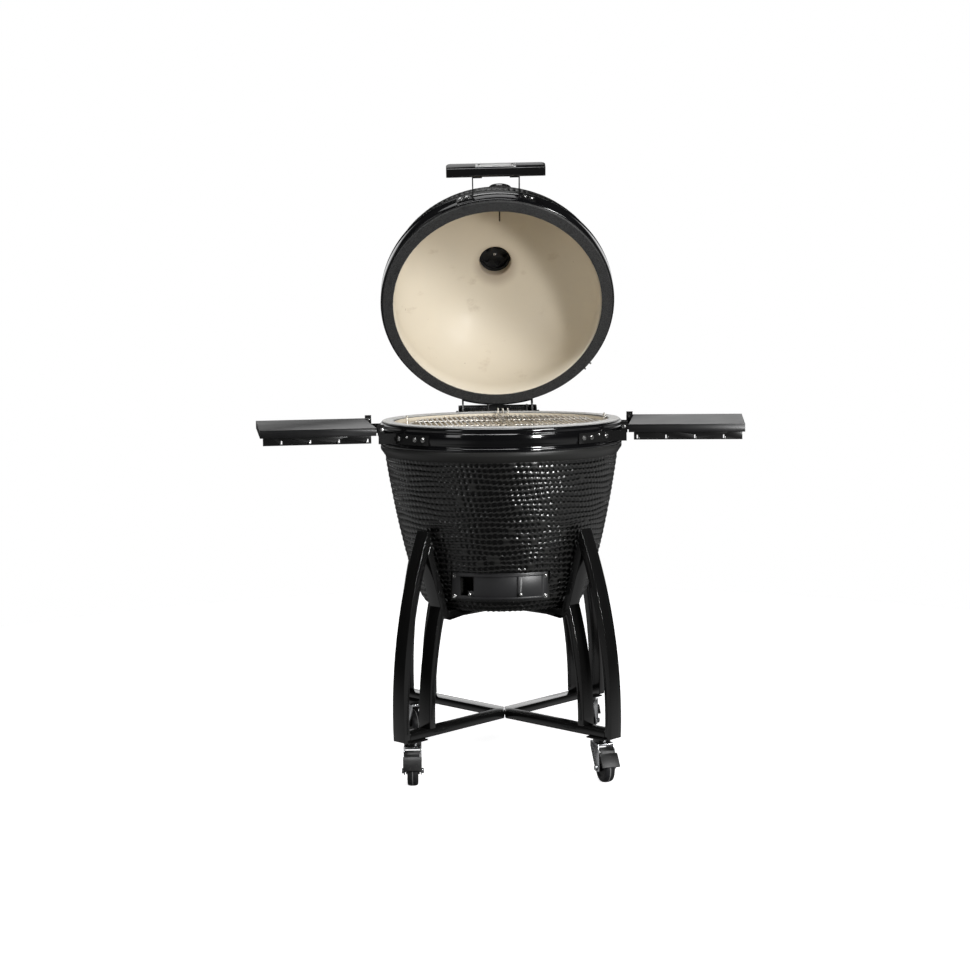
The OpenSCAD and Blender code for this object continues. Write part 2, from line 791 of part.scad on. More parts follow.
module badge_plate() {
    badge = [104, 1.5, 21];
    badge_z = handle_z + 7.5;
    face_y = handle_y - handle_t - badge[1];
    color("silver") on_handle() {
        translate([-badge[0] / 2, face_y, badge_z]) cube(badge);
        for (side = [-1, 1])
            translate([side * 43, face_y, badge_z + badge[2] / 2]) rotate([90, 0, 0]) cylinder(r = 2.8, h = 1.2);
    }
}

// ---------- thermometer ----------

module thermometer_body() {
    rim = 3;
    probe_r = 2.3;
    probe_l = 81;
    color("#1a1a1a") opened() on_gauge() difference() {
        union() {
            translate([0, 0, 2]) cylinder(r = gauge_r, h = gauge_t);
            translate([0, 0, -20]) cylinder(r = 4.6, h = 23);
            translate([0, 0, -probe_l]) cylinder(r = probe_r, h = probe_l);
        }
        translate([0, 0, 2 + 5]) cylinder(r = gauge_r - rim, h = gauge_t);
    }
}

module thermometer_dial() {
    color("white") opened() on_gauge() difference() {
        translate([0, 0, 7]) cylinder(r = gauge_r - 3.2, h = 1);
        translate([0, 0, 6]) cylinder(r = 1.55, h = 5);
    }
}

module thermometer_needle() {
    length = 22;
    color("firebrick") opened() on_gauge() {
        translate([0, 0, 7.05]) cylinder(r = 1.5, h = 3);
        translate([0, 0, 8.8]) cylinder(r = 4, h = 1);
        translate([0, 0, 8.8]) linear_extrude(0.8) rotate([0, 0, 135]) polygon([[-8, -1.6], [length, 0], [-8, 1.6]]);
    }
}

module thermometer_lens() {
    color([0.8, 0.85, 0.9, 0.4]) opened() on_gauge()
        translate([0, 0, gauge_t - 0.8]) cylinder(r = gauge_r - 3.2, h = 2);
}

// ---------- top vent ----------

// A cast collar: a short tube in the dome's hole under a round flange with a boss for the pivot
module vent_base() {
    tube_r = vent_hole_r - 0.4;
    flange_z = dome_top - 2.2;
    color("#232323") opened() difference() {
        union() {
            translate([0, 0, dome_top - 6]) cylinder(r = tube_r, h = 9);
            translate([0, 0, flange_z]) cylinder(r = vent_plate_r, h = vent_base_top - flange_z);
            translate([0, vent_pivot_y, vent_base_top - 1]) cylinder(r = 3.9, h = slide_t + 1 + 3);
        }
        translate([0, 0, dome_top - 100]) cylinder(r = tube_r - 5, h = 200);
    }
}

module petal_holes(h) {
    for (i = [0:petals - 1])
        rotate([0, 0, i * 360 / petals]) translate([petal_circle_r, 0, 0]) cylinder(r = petal_r, h = h, $fn = 72);
}

module vent_slide_plate() {
    color("#242424") opened() translate([0, 0, vent_base_top + 0.3]) difference() {
        union() {
            cylinder(r = vent_plate_r, h = slide_t);
            translate([-8, -vent_plate_r - 16, 0]) cube([16, 22, slide_t]);
            translate([0, 0, slide_t]) cylinder(r = 3.9, h = wheel_plate_t + 2);
        }
        translate([0, 0, -cut]) petal_holes(slide_t + 2 * cut);
        translate([0, vent_pivot_y, -cut]) cylinder(r = 4, h = slide_t + 2 * cut);
    }
}

module vent_daisy_wheel() {
    color("#262626") opened() translate([0, 0, vent_base_top + 0.6 + slide_t]) difference() {
        union() {
            cylinder(r = 43, h = wheel_plate_t);
            translate([0, 0, wheel_plate_t - 1]) cylinder(r = 10, h = 4);
            translate([0, 0, wheel_plate_t + 2]) rotate_extrude() polygon([
                [0, 0], [6, 0], [6, 10], [13, 16], [14, 20], [11, 24], [0, 25]
            ]);
        }
        rotate([0, 0, 180 / petals]) translate([0, 0, -cut]) petal_holes(wheel_plate_t + 2 * cut);
        translate([0, 0, -cut]) cylinder(r = 4, h = wheel_plate_t + cut + 2.2);
    }
}

// ---------- nodes ----------

stand_leg(0);  // stand_leg_front_left
stand_leg(1);  // stand_leg_front_right
stand_leg(2);  // stand_leg_rear_left
stand_leg(3);  // stand_leg_rear_right
stand_brace_frame(-1);  // stand_brace_frame_left
stand_brace_frame(1);  // stand_brace_frame_right
lower_cross(-1);  // lower_cross_left
lower_cross(1);  // lower_cross_right
stand_bolts();
caster_plates();
caster_fork(0);  // caster_fork_front_left
caster_fork(1);  // caster_fork_front_right
caster_fork(2);  // caster_fork_rear_left
caster_fork(3);  // caster_fork_rear_right
caster_wheel(0);  // caster_wheel_front_left
caster_wheel(1);  // caster_wheel_front_right
caster_wheel(2);  // caster_wheel_rear_left
caster_wheel(3);  // caster_wheel_rear_right
caster_brake(0);  // caster_brake_front_left
caster_brake(1);  // caster_brake_front_right
caster_brake(2);  // caster_brake_rear_left
caster_brake(3);  // caster_brake_rear_right
bowl();
bowl_band();
bowl_gasket();
bowl_bolts();
fire_box();
fire_ring();
charcoal_grate();
grid_rack();
cooking_grate(-1);  // cooking_grate_left
cooking_grate(1);  // cooking_grate_right
draft_frame();
draft_door_left();
draft_door_right();
table_bracket(-1);  // table_bracket_left
table_bracket(1);  // table_bracket_right
table_pins();
table_top(-1);  // table_top_left
table_top(1);  // table_top_right
table_rails(-1);  // table_rails_left
table_rails(1);  // table_rails_right
hinge_lower_bracket();
hinge_pin();
hinge_springs();
hinge_upper_bracket();
lid_dome();
lid_band();
lid_gasket();
lid_bolts();
handle_bar();
handle_arms();
badge_plate();
thermometer_body();
thermometer_dial();
thermometer_lens();
thermometer_needle();
vent_base();
vent_slide_plate();
vent_daisy_wheel();
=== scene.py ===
import json
import math

import bpy
import numpy as np
from mathutils import Matrix, Vector


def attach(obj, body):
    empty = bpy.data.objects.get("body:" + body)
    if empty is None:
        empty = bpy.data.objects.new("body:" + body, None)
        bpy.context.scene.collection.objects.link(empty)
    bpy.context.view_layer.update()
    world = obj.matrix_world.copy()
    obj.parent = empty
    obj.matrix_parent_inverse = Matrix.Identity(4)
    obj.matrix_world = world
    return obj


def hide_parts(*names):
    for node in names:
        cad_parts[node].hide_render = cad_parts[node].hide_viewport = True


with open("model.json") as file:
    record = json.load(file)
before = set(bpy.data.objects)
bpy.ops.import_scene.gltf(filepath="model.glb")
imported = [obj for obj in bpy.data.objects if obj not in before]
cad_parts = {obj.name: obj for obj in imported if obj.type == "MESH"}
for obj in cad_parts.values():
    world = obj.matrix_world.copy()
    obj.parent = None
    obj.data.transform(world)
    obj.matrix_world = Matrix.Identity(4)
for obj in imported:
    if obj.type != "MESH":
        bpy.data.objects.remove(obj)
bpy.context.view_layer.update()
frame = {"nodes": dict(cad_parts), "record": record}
scene = bpy.context.scene
print("frame loaded with", len(frame["nodes"]), "nodes")

mm = 0.001
corners = {"front_left": 225, "front_right": 315, "rear_left": 135, "rear_right": 45}
lidHinge = {"y": 0.335, "z": 0.895, "openAngle": 61.3}
openLid = (Matrix.Translation((0, lidHinge["y"], lidHinge["z"]))
           @ Matrix.Rotation(math.radians(-lidHinge["openAngle"]), 4, "X")
           @ Matrix.Translation((0, -lidHinge["y"], -lidHinge["z"])))

handleTurn = -0.65
gauge = {"turn": 2.85, "angle": 40, "radius": 0.306, "height": 0.238, "foot": 0.957,
         "bezel": 32 * mm, "face": 28.8 * mm, "probe": 81 * mm, "ticks": 37, "step": 7.5, "numbered": 6}
gaugeTilt = math.atan(math.tan(math.radians(gauge["angle"])) * gauge["radius"] / gauge["height"])
onGauge = (openLid @ Matrix.Rotation(math.radians(gauge["turn"]), 4, "Z")
           @ Matrix.Translation((0, -gauge["radius"] * math.cos(math.radians(gauge["angle"])),
                                 gauge["foot"] + gauge["height"] * math.sin(math.radians(gauge["angle"]))))
           @ Matrix.Rotation(math.pi / 2 - gaugeTilt, 4, "X"))


class Wire:
    def __init__(self, finish, socket):
        self.finish = finish
        self.socket = socket

    def calc(self, operation, first, second):
        return self.finish.node("ShaderNodeMath", {"operation": operation}, {0: first, 1: second})

    def __add__(self, other):
        return self.calc("ADD", self, other)

    def __radd__(self, other):
        return self.calc("ADD", other, self)

    def __sub__(self, other):
        return self.calc("SUBTRACT", self, other)

    def __rsub__(self, other):
        return self.calc("SUBTRACT", other, self)

    def __mul__(self, other):
        return self.calc("MULTIPLY", self, other)

    def __rmul__(self, other):
        return self.calc("MULTIPLY", other, self)


class Graph:
    def __init__(self, tree):
        self.tree = tree

    def join(self, value, target):
        if isinstance(value, Wire):
            self.tree.links.new(value.socket, target)
        else:
            target.default_value = value

    def node(self, kind, settings, values, output=0):
        made = self.tree.nodes.new(kind)
        for key, value in settings.items():
            setattr(made, key, value)
        for key, value in values.items():
            self.join(value, made.inputs[key])
        return Wire(self, made.outputs[output])

    def span(self, value, fromLow, fromHigh, low=0.0, high=1.0):
        return self.node("ShaderNodeMapRange", {"interpolation_type": "SMOOTHSTEP"}, {
            "Value": value, "From Min": fromLow, "From Max": fromHigh, "To Min": low, "To Max": high})


class Finish(Graph):
    def __init__(self, name, fixed):
        self.material = bpy.data.materials.new(name)
        self.material.use_nodes = True
        super().__init__(self.material.node_tree)
        self.shader = self.tree.nodes["Principled BSDF"]
        where = self.node("ShaderNodeTexCoord", {}, {}, "Object")
        self.place = self.node("ShaderNodeMapping", {}, {"Vector": where})
        self.feed(fixed)

    def feed(self, values):
        for key, value in values.items():
            self.join(value, self.shader.inputs[key])

    def noise(self, scale, detail=2, stretch=(1, 1, 1), roughness=0.5):
        mapped = self.node("ShaderNodeMapping", {}, {"Vector": self.place, "Scale": stretch})
        return self.node("ShaderNodeTexNoise", {}, {
            "Vector": mapped, "Scale": scale, "Detail": detail, "Roughness": roughness})

    def cells(self, scale, feature="F1"):
        return self.node("ShaderNodeTexVoronoi", {"feature": feature}, {"Vector": self.place, "Scale": scale})

    def tint(self, factor, low, high):
        return self.node("ShaderNodeMix", {"data_type": "RGBA"}, {0: factor, 6: (*low, 1), 7: (*high, 1)}, 2)

    def overlay(self, factor, under, high):
        return self.node("ShaderNodeMix", {"data_type": "RGBA"}, {0: factor, 6: under, 7: (*high, 1)}, 2)

    def bump(self, height, distance, strength=1.0, after=None):
        values = {"Height": height, "Distance": distance, "Strength": strength}
        if after:
            values["Normal"] = after
        return self.node("ShaderNodeBump", {}, values)


ventDarkCentre = tuple(openLid @ Vector((0, 0.012, 1.170)))


def makeGlaze(name, netted):
    values = {"ridge": (0.026, 0.026, 0.025), "pit": (0.002, 0.002, 0.002), "plain": (0.020, 0.020, 0.019)}
    finish = Finish(name, {"Coat Roughness": 0.07, "Specular IOR Level": 0.35})
    cloud = finish.noise(9, 3)
    if netted:
        pit = finish.node("ShaderNodeAttribute", {"attribute_name": "pit"}, {}, "Fac")
        # painted shade: the colour falls from the ridge tone to near black as the pit deepens
        edge = finish.span(pit + (cloud - 0.5) * 0.2, 0.08, 0.5)
        colour = finish.tint(edge, values["ridge"], values["pit"])
        roughness = 0.32 + cloud * 0.10 - pit * 0.20
        finish.feed({"Coat Weight": pit})
    else:
        colour = finish.tint(cloud, values["plain"], values["ridge"])
        roughness = 0.16 + cloud * 0.12
    waves = finish.noise(260, 2) * 0.7 + finish.noise(1100, 1) * 0.3
    finish.feed({"Base Color": colour, "Roughness": roughness,
                 "Normal": finish.bump(waves, 0.25 * mm, 0.5)})
    return finish


def makeCream(name):
    # a pale glaze with faint stains, painted shade that browns and darkens it high up in the open lid, and
    # darker round its vent
    finish = Finish(name, {"Specular IOR Level": 0.4, "Coat Weight": 0.12, "Coat Roughness": 0.25})
    cloud = finish.noise(3.2, 4)
    colour = finish.tint(cloud, (0.73, 0.65, 0.51), (0.83, 0.76, 0.63))
    level = finish.node("ShaderNodeSeparateXYZ", {}, {0: finish.place}, 2)
    # painted shade: towards the top of the open lid's inside the cream turns brown and dark
    paintedTopShade = finish.span(level + cloud * 0.1, 1.30, 1.62, 0.0, 0.6)
    colour = finish.overlay(paintedTopShade, colour, (0.40, 0.31, 0.20))
    smudge = finish.span(finish.noise(11, 6, (1, 0.5, 1.4), 0.62), 0.60, 0.72, 0.0, 0.28)
    colour = finish.overlay(smudge, colour, (0.46, 0.36, 0.25))
    speck = finish.span(finish.noise(85, 2), 0.74, 0.80, 0.0, 0.4)
    colour = finish.overlay(speck, colour, (0.35, 0.26, 0.17))
    away = finish.node("ShaderNodeVectorMath", {"operation": "DISTANCE"},
                       {0: finish.place, 1: ventDarkCentre}, "Value")
    # darker round the vent: the cream darkens within about 35 to 75 mm of a point beside the bore
    ventDarkening = finish.span(away + (cloud - 0.5) * 0.03, 0.075, 0.035, 0.0, 0.5)
    colour = finish.overlay(ventDarkening, colour, (0.22, 0.15, 0.10))
    waves = finish.noise(24, 3) * 0.7 + finish.noise(420, 2) * 0.06
    finish.feed({"Base Color": colour, "Roughness": 0.42 + cloud * 0.16,
                 "Normal": finish.bump(waves, 1.2 * mm, 0.25)})
    return finish


def makeClay(name):
    finish = Finish(name, {"Specular IOR Level": 0.25})
    cloud = finish.noise(14, 5)
    colour = finish.tint(cloud, (0.44, 0.36, 0.25), (0.62, 0.53, 0.39))
    soot = finish.span(finish.noise(6, 5), 0.55, 0.75, 0.0, 0.22)
    colour = finish.overlay(soot, colour, (0.30, 0.25, 0.20))
    # painted shade: the clay darkens almost to black towards the bottom of the fire box
    level = finish.node("ShaderNodeSeparateXYZ", {}, {0: finish.place}, 2)
    colour = finish.overlay(finish.span(level + cloud * 0.08, 0.66, 0.54), colour, (0.035, 0.030, 0.026))
    grain = finish.noise(700, 3) * 0.6 + finish.noise(60, 3)
    finish.feed({"Base Color": colour, "Roughness": 0.74 + cloud * 0.16,
                 "Normal": finish.bump(grain, 0.5 * mm, 0.6)})
    return finish


def makeFelt(name, low, high):
    finish = Finish(name, {"Sheen Weight": 0.15, "Specular IOR Level": 0.15})
    tufts = finish.noise(330, 4, (1, 1, 2.2), 0.7)
    fibres = finish.noise(1500, 2, (1, 0.35, 1))
    colour = finish.tint(finish.span(tufts * 0.6 + fibres * 0.4, 0.36, 0.64), low, high)
    colour = finish.overlay(finish.span(finish.noise(40, 4), 0.55, 0.75, 0.0, 0.35), colour, low)
    finish.feed({"Base Color": colour, "Roughness": 0.86 + tufts * 0.1,
                 "Normal": finish.bump(tufts + fibres * 0.6, 0.9 * mm, 0.8)})
    return finish


def makePaint(name, colour, roughness, grain, peel, coat=0.0):
    # a sprayed or baked coat: fine grain, an uneven sheen, and paler wear where the noise peaks
    finish = Finish(name, {"Coat Weight": coat, "Coat Roughness": 0.05})
    cloud = finish.noise(16, 4)
    tone = finish.tint(cloud, tuple(c * 0.75 for c in colour), tuple(c * 1.3 for c in colour))
    dust = finish.span(finish.noise(520, 2), 0.70, 0.80, 0.0, 0.12)
    tone = finish.overlay(dust, tone, (0.16, 0.16, 0.16))
    finish.feed({"Base Color": tone, "Roughness": roughness * 0.85 + cloud * roughness * 0.3,
                 "Normal": finish.bump(finish.noise(grain, 2), peel, 0.5)})
    return finish


def makeMetal(name, colour, roughness, stretch, heat=None, scratch=900):
    finish = Finish(name, {"Metallic": 1.0})
    lines = finish.noise(scratch, 3, stretch)
    cloud = finish.noise(12, 3)
    tone = finish.tint(lines, tuple(c * 0.82 for c in colour), tuple(min(1, c * 1.12) for c in colour))
    if heat:
        tone = finish.overlay(finish.span(cloud, 0.42, 0.66, 0.0, 0.45), tone, heat)
    finish.feed({"Base Color": tone, "Roughness": roughness + lines * 0.14 + cloud * 0.08,
                 "Normal": finish.bump(lines, 0.06 * mm, 0.5)})
    return finish


def makeIron(name, colour, roughness):
    finish = Finish(name, {"Specular IOR Level": 0.45})
    sand = finish.noise(480, 3) * 0.6 + finish.cells(260) * 0.4
    cloud = finish.noise(18, 4)
    tone = finish.tint(cloud, tuple(c * 0.7 for c in colour), tuple(c * 1.6 for c in colour))
    finish.feed({"Base Color": tone, "Roughness": roughness + cloud * 0.2,
                 "Normal": finish.bump(sand, 0.5 * mm, 0.5)})
    return finish


def makeRubber(name, colour, roughness):
    finish = Finish(name, {"Specular IOR Level": 0.35})
    cloud = finish.noise(60, 4)
    tone = finish.tint(cloud, colour, tuple(c * 2.2 for c in colour))
    tone = finish.overlay(finish.span(finish.noise(190, 3), 0.6, 0.75, 0.0, 0.15), tone, (0.20, 0.19, 0.18))
    finish.feed({"Base Color": tone, "Roughness": roughness + cloud * 0.15,
                 "Normal": finish.bump(finish.noise(900, 2), 0.12 * mm, 0.6)})
    return finish


def makeGlass(name):
    finish = Finish(name, {"Transmission Weight": 1.0, "IOR": 1.46, "Base Color": (0.97, 0.98, 0.98, 1)})
    finish.feed({"Roughness": 0.01 + finish.span(finish.noise(60, 3), 0.5, 0.8) * 0.05})
    return finish


looks = {
    "frame_paint": makePaint("framePaint", (0.006, 0.006, 0.006), 0.15, 700, 0.05 * mm, 0.3),
    "zinc_plate": makeMetal("zincPlate", (0.74, 0.75, 0.77), 0.14, (1, 1, 0.3)),
    "wheel_rubber": makeRubber("wheelRubber", (0.010, 0.010, 0.011), 0.42),
    "pedal_plastic": makeRubber("pedalPlastic", (0.007, 0.007, 0.007), 0.30),
    "bolt_steel": makeMetal("boltSteel", (0.78, 0.78, 0.77), 0.12, (1, 1, 1)),
    "bowl_glaze": makeGlaze("bowlGlaze", False),
    "lid_glaze": makeGlaze("lidGlaze", True),
    "band_paint": makePaint("bandPaint", (0.004, 0.004, 0.0045), 0.10, 40, 0.006 * mm, 0.3),
    "bowl_felt": makeFelt("bowlFelt", (0.34, 0.34, 0.33), (0.58, 0.58, 0.57)),
    "lid_felt": makeFelt("lidFelt", (0.010, 0.010, 0.010), (0.070, 0.070, 0.070)),
    "fire_clay": makeClay("fireClay"),
    "cast_iron": makeIron("castIron", (0.030, 0.029, 0.028), 0.55),
    "vent_iron": makeIron("ventIron", (0.004, 0.004, 0.004), 0.36),
    "stainless_wire": makeMetal("stainlessWire", (0.70, 0.68, 0.64), 0.16, (1, 0.08, 1), (0.62, 0.52, 0.38)),
    "draft_paint": makePaint("draftPaint", (0.022, 0.022, 0.023), 0.36, 600, 0.05 * mm),
    "bracket_paint": makePaint("bracketPaint", (0.008, 0.008, 0.008), 0.26, 800, 0.05 * mm, 0.1),
    "spring_paint": makePaint("springPaint", (0.012, 0.012, 0.012), 0.30, 700, 0.05 * mm),
    "table_paint": makePaint("tablePaint", (0.008, 0.008, 0.0085), 0.34, 1100, 0.05 * mm),
    "handle_lacquer": makePaint("handleLacquer", (0.005, 0.005, 0.005), 0.10, 160, 0.04 * mm, 0.6),
    "badge_metal": makeMetal("badgeMetal", (0.80, 0.80, 0.79), 0.22, (0.05, 1, 1)),
    "gauge_paint": makePaint("gaugePaint", (0.010, 0.010, 0.010), 0.22, 700, 0.04 * mm, 0.2),
    "gauge_face": makePaint("gaugeFace", (0.74, 0.73, 0.69), 0.50, 900, 0.02 * mm),
    "gauge_glass": makeGlass("gaugeGlass"),
    "needle_paint": makePaint("needlePaint", (0.50, 0.025, 0.018), 0.30, 900, 0.02 * mm),
}
bowlNetGlaze = makeGlaze("bowlNetGlaze", True)
creamGlaze = makeCream("creamGlaze")
probeBrown = makePaint("probeBrown", (0.045, 0.028, 0.015), 0.35, 500, 0.03 * mm)
inkBlack = makePaint("inkBlack", (0.012, 0.012, 0.012), 0.5, 900, 0.02 * mm)
treadGrey = makeRubber("treadGrey", (0.16, 0.16, 0.16), 0.5)
for nodeName, node in frame["nodes"].items():
    slotName = next(p["material_slot"] for p in frame["record"]["subparts"] if p["node"] == nodeName)
    for holder in node.material_slots:
        holder.material = looks[slotName].material
print("finishes made:", len(looks))


def pickOnly(*objects):
    if bpy.context.object and bpy.context.object.mode == "EDIT":
        bpy.ops.object.mode_set(mode="OBJECT")
    bpy.ops.object.select_all(action="DESELECT")
    for each in objects:
        each.select_set(True)
    bpy.context.view_layer.objects.active = objects[0]


def startAfresh():
    if bpy.context.object and bpy.context.object.mode == "EDIT":
        bpy.ops.object.mode_set(mode="OBJECT")
    bpy.ops.object.select_all(action="DESELECT")


def editAll(piece, kind="VERT"):
    pickOnly(piece)
    bpy.ops.object.mode_set(mode="EDIT")
    bpy.ops.mesh.select_mode(type=kind)
    bpy.ops.mesh.select_all(action="SELECT")


def chooseFaces(piece, test):
    editAll(piece, "FACE")
    bpy.ops.mesh.select_all(action="DESELECT")
    bpy.ops.object.mode_set(mode="OBJECT")
    for face in piece.data.polygons:
        face.select = test(face.center, face.normal)
    bpy.ops.object.mode_set(mode="EDIT")


def backToObject():
    bpy.ops.object.mode_set(mode="OBJECT")


def shape(piece, kind, **settings):
    pickOnly(piece)
    modifier = piece.modifiers.new(kind.title(), kind)
    for key, value in settings.items():
        setattr(modifier, key, value)
    bpy.ops.object.modifier_apply(modifier=modifier.name)


def smooth(piece, angle=35):
    pickOnly(piece)
    bpy.ops.object.shade_smooth_by_angle(angle=math.radians(angle))


def roundEdges(piece, width, segments=2, angle=30):
    shape(piece, "BEVEL", width=width, segments=segments, limit_method="ANGLE",
          angle_limit=math.radians(angle))
    smooth(piece, 40)


def settle(piece, name, body, slotName, replaced=(), finish=None, keepSlots=False):
    pickOnly(piece)
    bpy.ops.object.transform_apply(location=True, rotation=True, scale=True)
    piece.name = name
    piece.data.name = name
    if not keepSlots:
        piece.data.materials.clear()
        piece.data.materials.append((finish or looks[slotName]).material)
    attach(piece, body)
    if replaced:
        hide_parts(*replaced)
    return piece


def spun(points, steps=128):
    # a circle bent into the profile of radius and height, then spun about Z
    startAfresh()
    bpy.ops.mesh.primitive_circle_add(vertices=len(points), radius=0.01, location=(0, 0, 0))
    piece = bpy.context.object
    for vertex, (radius, height) in zip(piece.data.vertices, points):
        vertex.co = (radius, 0, height)
    editAll(piece)
    bpy.ops.mesh.spin(steps=steps, angle=2 * math.pi, center=(0, 0, 0), axis=(0, 0, 1))
    bpy.ops.mesh.select_all(action="SELECT")
    bpy.ops.mesh.remove_doubles(threshold=2e-6)
    bpy.ops.mesh.delete_loose()
    bpy.ops.mesh.select_all(action="SELECT")
    bpy.ops.mesh.normals_make_consistent(inside=False)
    backToObject()
    smooth(piece)
    return piece


def reworked(nodeName, width=0.0, segments=2, angle=30, flat=0.6):
    # a clean copy of a CAD node's mesh, with its edges eased
    piece = bpy.data.objects.new(nodeName + "Copy", frame["nodes"][nodeName].data.copy())
    scene.collection.objects.link(piece)
    editAll(piece)
    bpy.ops.mesh.customdata_custom_splitnormals_clear()
    bpy.ops.mesh.remove_doubles(threshold=4e-6)
    if flat:
        bpy.ops.mesh.dissolve_limited(angle_limit=math.radians(flat))
    backToObject()
    if width:
        roundEdges(piece, width, segments, angle)
    else:
        smooth(piece, 40)
    return piece


def copied(piece, matrix):
    twin = bpy.data.objects.new(piece.name + "Twin", piece.data.copy())
    scene.collection.objects.link(twin)
    twin.data.transform(matrix)
    return twin


def joined(objects):
    pickOnly(*objects)
    bpy.ops.object.join()
    return bpy.context.object


def drop(piece):
    bpy.data.objects.remove(piece)


def facing(radius, height, angle):
    # stands a piece's +Z outwards on the circle, angle counted from the front towards +X
    return (Matrix.Rotation(math.radians(angle), 4, "Z") @ Matrix.Translation((0, -radius, height))
            @ Matrix.Rotation(math.radians(90), 4, "X"))


def stitched(name, rows):
    # rows of points round the axis, each with its own count and starting angle, joined in order
    places, faces, starts = [], [], []
    for row in rows:
        starts.append(len(places))
        places.extend(row["points"])
    for upper, lower, a, b in zip(rows, rows[1:], starts, starts[1:]):
        countA, countB = upper["count"], lower["count"]
        stepA, stepB = 2 * math.pi / countA, 2 * math.pi / countB
        first = round((upper["start"] - lower["start"]) / stepB)
        lag = lower["start"] + first * stepB - upper["start"]
        i = j = 0
        while i < countA or j < countB:
            cornerA, cornerB = a + i % countA, b + (first + j) % countB
            nextA, nextB = a + (i + 1) % countA, b + (first + j + 1) % countB
            if countA == countB:
                faces.append((cornerA, cornerB, nextB, nextA))
                i, j = i + 1, j + 1
            elif j >= countB or (i < countA and (i + 1) * stepA <= lag + (j + 1) * stepB):
                faces.append((cornerA, cornerB, nextA))
                i += 1
            else:
                faces.append((cornerA, cornerB, nextB))
                j += 1
    mesh = bpy.data.meshes.new(name)
    mesh.from_pydata([tuple(p) for p in places], [], faces)
    mesh.update()
    piece = bpy.data.objects.new(name, mesh)
    scene.collection.objects.link(piece)
    return piece


def plainRow(radius, height, count=256):
    angles = np.arange(count) * 2 * math.pi / count
    points = np.stack([radius * np.cos(angles), radius * np.sin(angles), np.full(count, height)], 1)
    return {"count": count, "start": 0.0, "points": points, "pit": np.zeros(count)}


def netRows(profile, values):
    # profile is a dense line of radius and height; each cell is four columns wide and four rows high
    line = np.array(profile)
    steps = np.hypot(*np.diff(line, axis=0).T)
    along = np.concatenate([[0], np.cumsum(steps)])
    cellRows = max(1, round(along[-1] / values["cellHeight"]))
    draw = np.random.RandomState(values["seed"])
    depthOf = np.array([[0.06, 0.03, 0.0, 0.03], [0.24, 0.66, 0.80, 0.66],
                        [0.42, 0.92, 1.0, 0.92], [0.24, 0.66, 0.80, 0.66]])
    rows = []
    turn = 0.0
    for cellRow in range(cellRows):
        middle = np.interp((cellRow + 0.5) * along[-1] / cellRows, along, line[:, 0])
        cells = max(12, round(2 * math.pi * middle / values["cellWidth"]))
        turn += math.pi / cells + draw.uniform(-0.15, 0.15) * 2 * math.pi / cells
        depth = draw.uniform(0.75, 1.1, cells) * np.where(draw.rand(cells) < 0.03, 0.35, 1.0)
        shiftA, shiftS = draw.uniform(-0.10, 0.10, cells), draw.uniform(-0.5, 0.5, cells)
        for q in range(4):
            count = cells * 4
            column = np.arange(count)
            cell, c = column // 4, column % 4
            pit = depthOf[q, c] * np.where(c == 0, 1.0, depth[cell])
            nudge = np.where((c > 0) & (q > 0), shiftA[cell], 0.0) * 0.5
            angles = turn + (column / 4 + nudge) * 2 * math.pi / cells
            s = (cellRow + q / 4) * along[-1] / cellRows
            if q == 0:
                wave = 1.3 * mm * np.where(c == 2, -1.0, np.where(c == 0, 1.0, 0.0))
            else:
                wave = shiftS[cell] * mm * (c > 0)
            if cellRow == 0 and q == 0:
                wave = 0.0 * column
            fade = np.interp(s, [0, 30 * mm, along[-1] - 30 * mm, along[-1]], [0, 1, 1, 0])
            slow, quick = np.sin(5 * angles + 42 * s), np.sin(13 * angles - 66 * s)
            drift = fade * mm * (values["drift"] * slow + 1.4 * quick)
            places = np.clip(s + wave + drift, 0, along[-1])
            radius = np.interp(places, along, line[:, 0])
            height = np.interp(places, along, line[:, 1])
            ahead, behind = np.clip(places + mm, 0, along[-1]), np.clip(places - mm, 0, along[-1])
            slopeR = np.interp(ahead, along, line[:, 0]) - np.interp(behind, along, line[:, 0])
            slopeZ = np.interp(ahead, along, line[:, 1]) - np.interp(behind, along, line[:, 1])
            length = np.hypot(slopeR, slopeZ)
            swell = np.interp(s, [0, 4 * mm, along[-1] - 4 * mm, along[-1]], [0.3, 1, 1, 0.3])
            lift = values["ridge"] * (1 - pit) * swell + draw.uniform(-0.15, 0.15, count) * mm
            lift = np.maximum(lift, 0.2 * mm)
            radius = radius - slopeZ / length * lift
            height = height + slopeR / length * lift
            points = np.stack([radius * np.cos(angles), radius * np.sin(angles), height], 1)
            rows.append({"count": count, "start": turn, "points": points, "pit": np.clip(pit, 0, 1)})
    return rows


def markPits(piece, rows):
    marks = piece.data.attributes.new("pit", "FLOAT", "POINT")
    marks.data.foreach_set("value", np.concatenate([row["pit"] for row in rows]).astype(np.float32))


def bezierLine(points, count):
    line = []
    for i in range(count + 1):
        t = i / count
        weights = ((1 - t) ** 3, 3 * t * (1 - t) ** 2, 3 * t * t * (1 - t), t ** 3)
        line.append(tuple(sum(w * p[k] for w, p in zip(weights, points)) for k in (0, 1)))
    return line


dome = {"radius": 0.3045, "innerRadius": 0.278, "foot": 0.957, "height": 0.2365, "wall": 0.0295,
        "netFoot": 0.986, "netTop": 0.060, "collar": 0.050, "rimRadius": 0.311, "rimBottom": 0.909,
        "paleRim": 0.304, "ventRadius": 0.044, "lip": 6 * mm,
        "net": {"cellWidth": 14 * mm, "cellHeight": 14.2 * mm, "ridge": 2.8 * mm, "drift": 2.2, "seed": 4}}


def domeLine(radius, height, fromAngle, toAngle, count):
    angles = np.linspace(fromAngle, toAngle, count)
    return [(radius * math.cos(a), dome["foot"] + height * math.sin(a)) for a in angles]


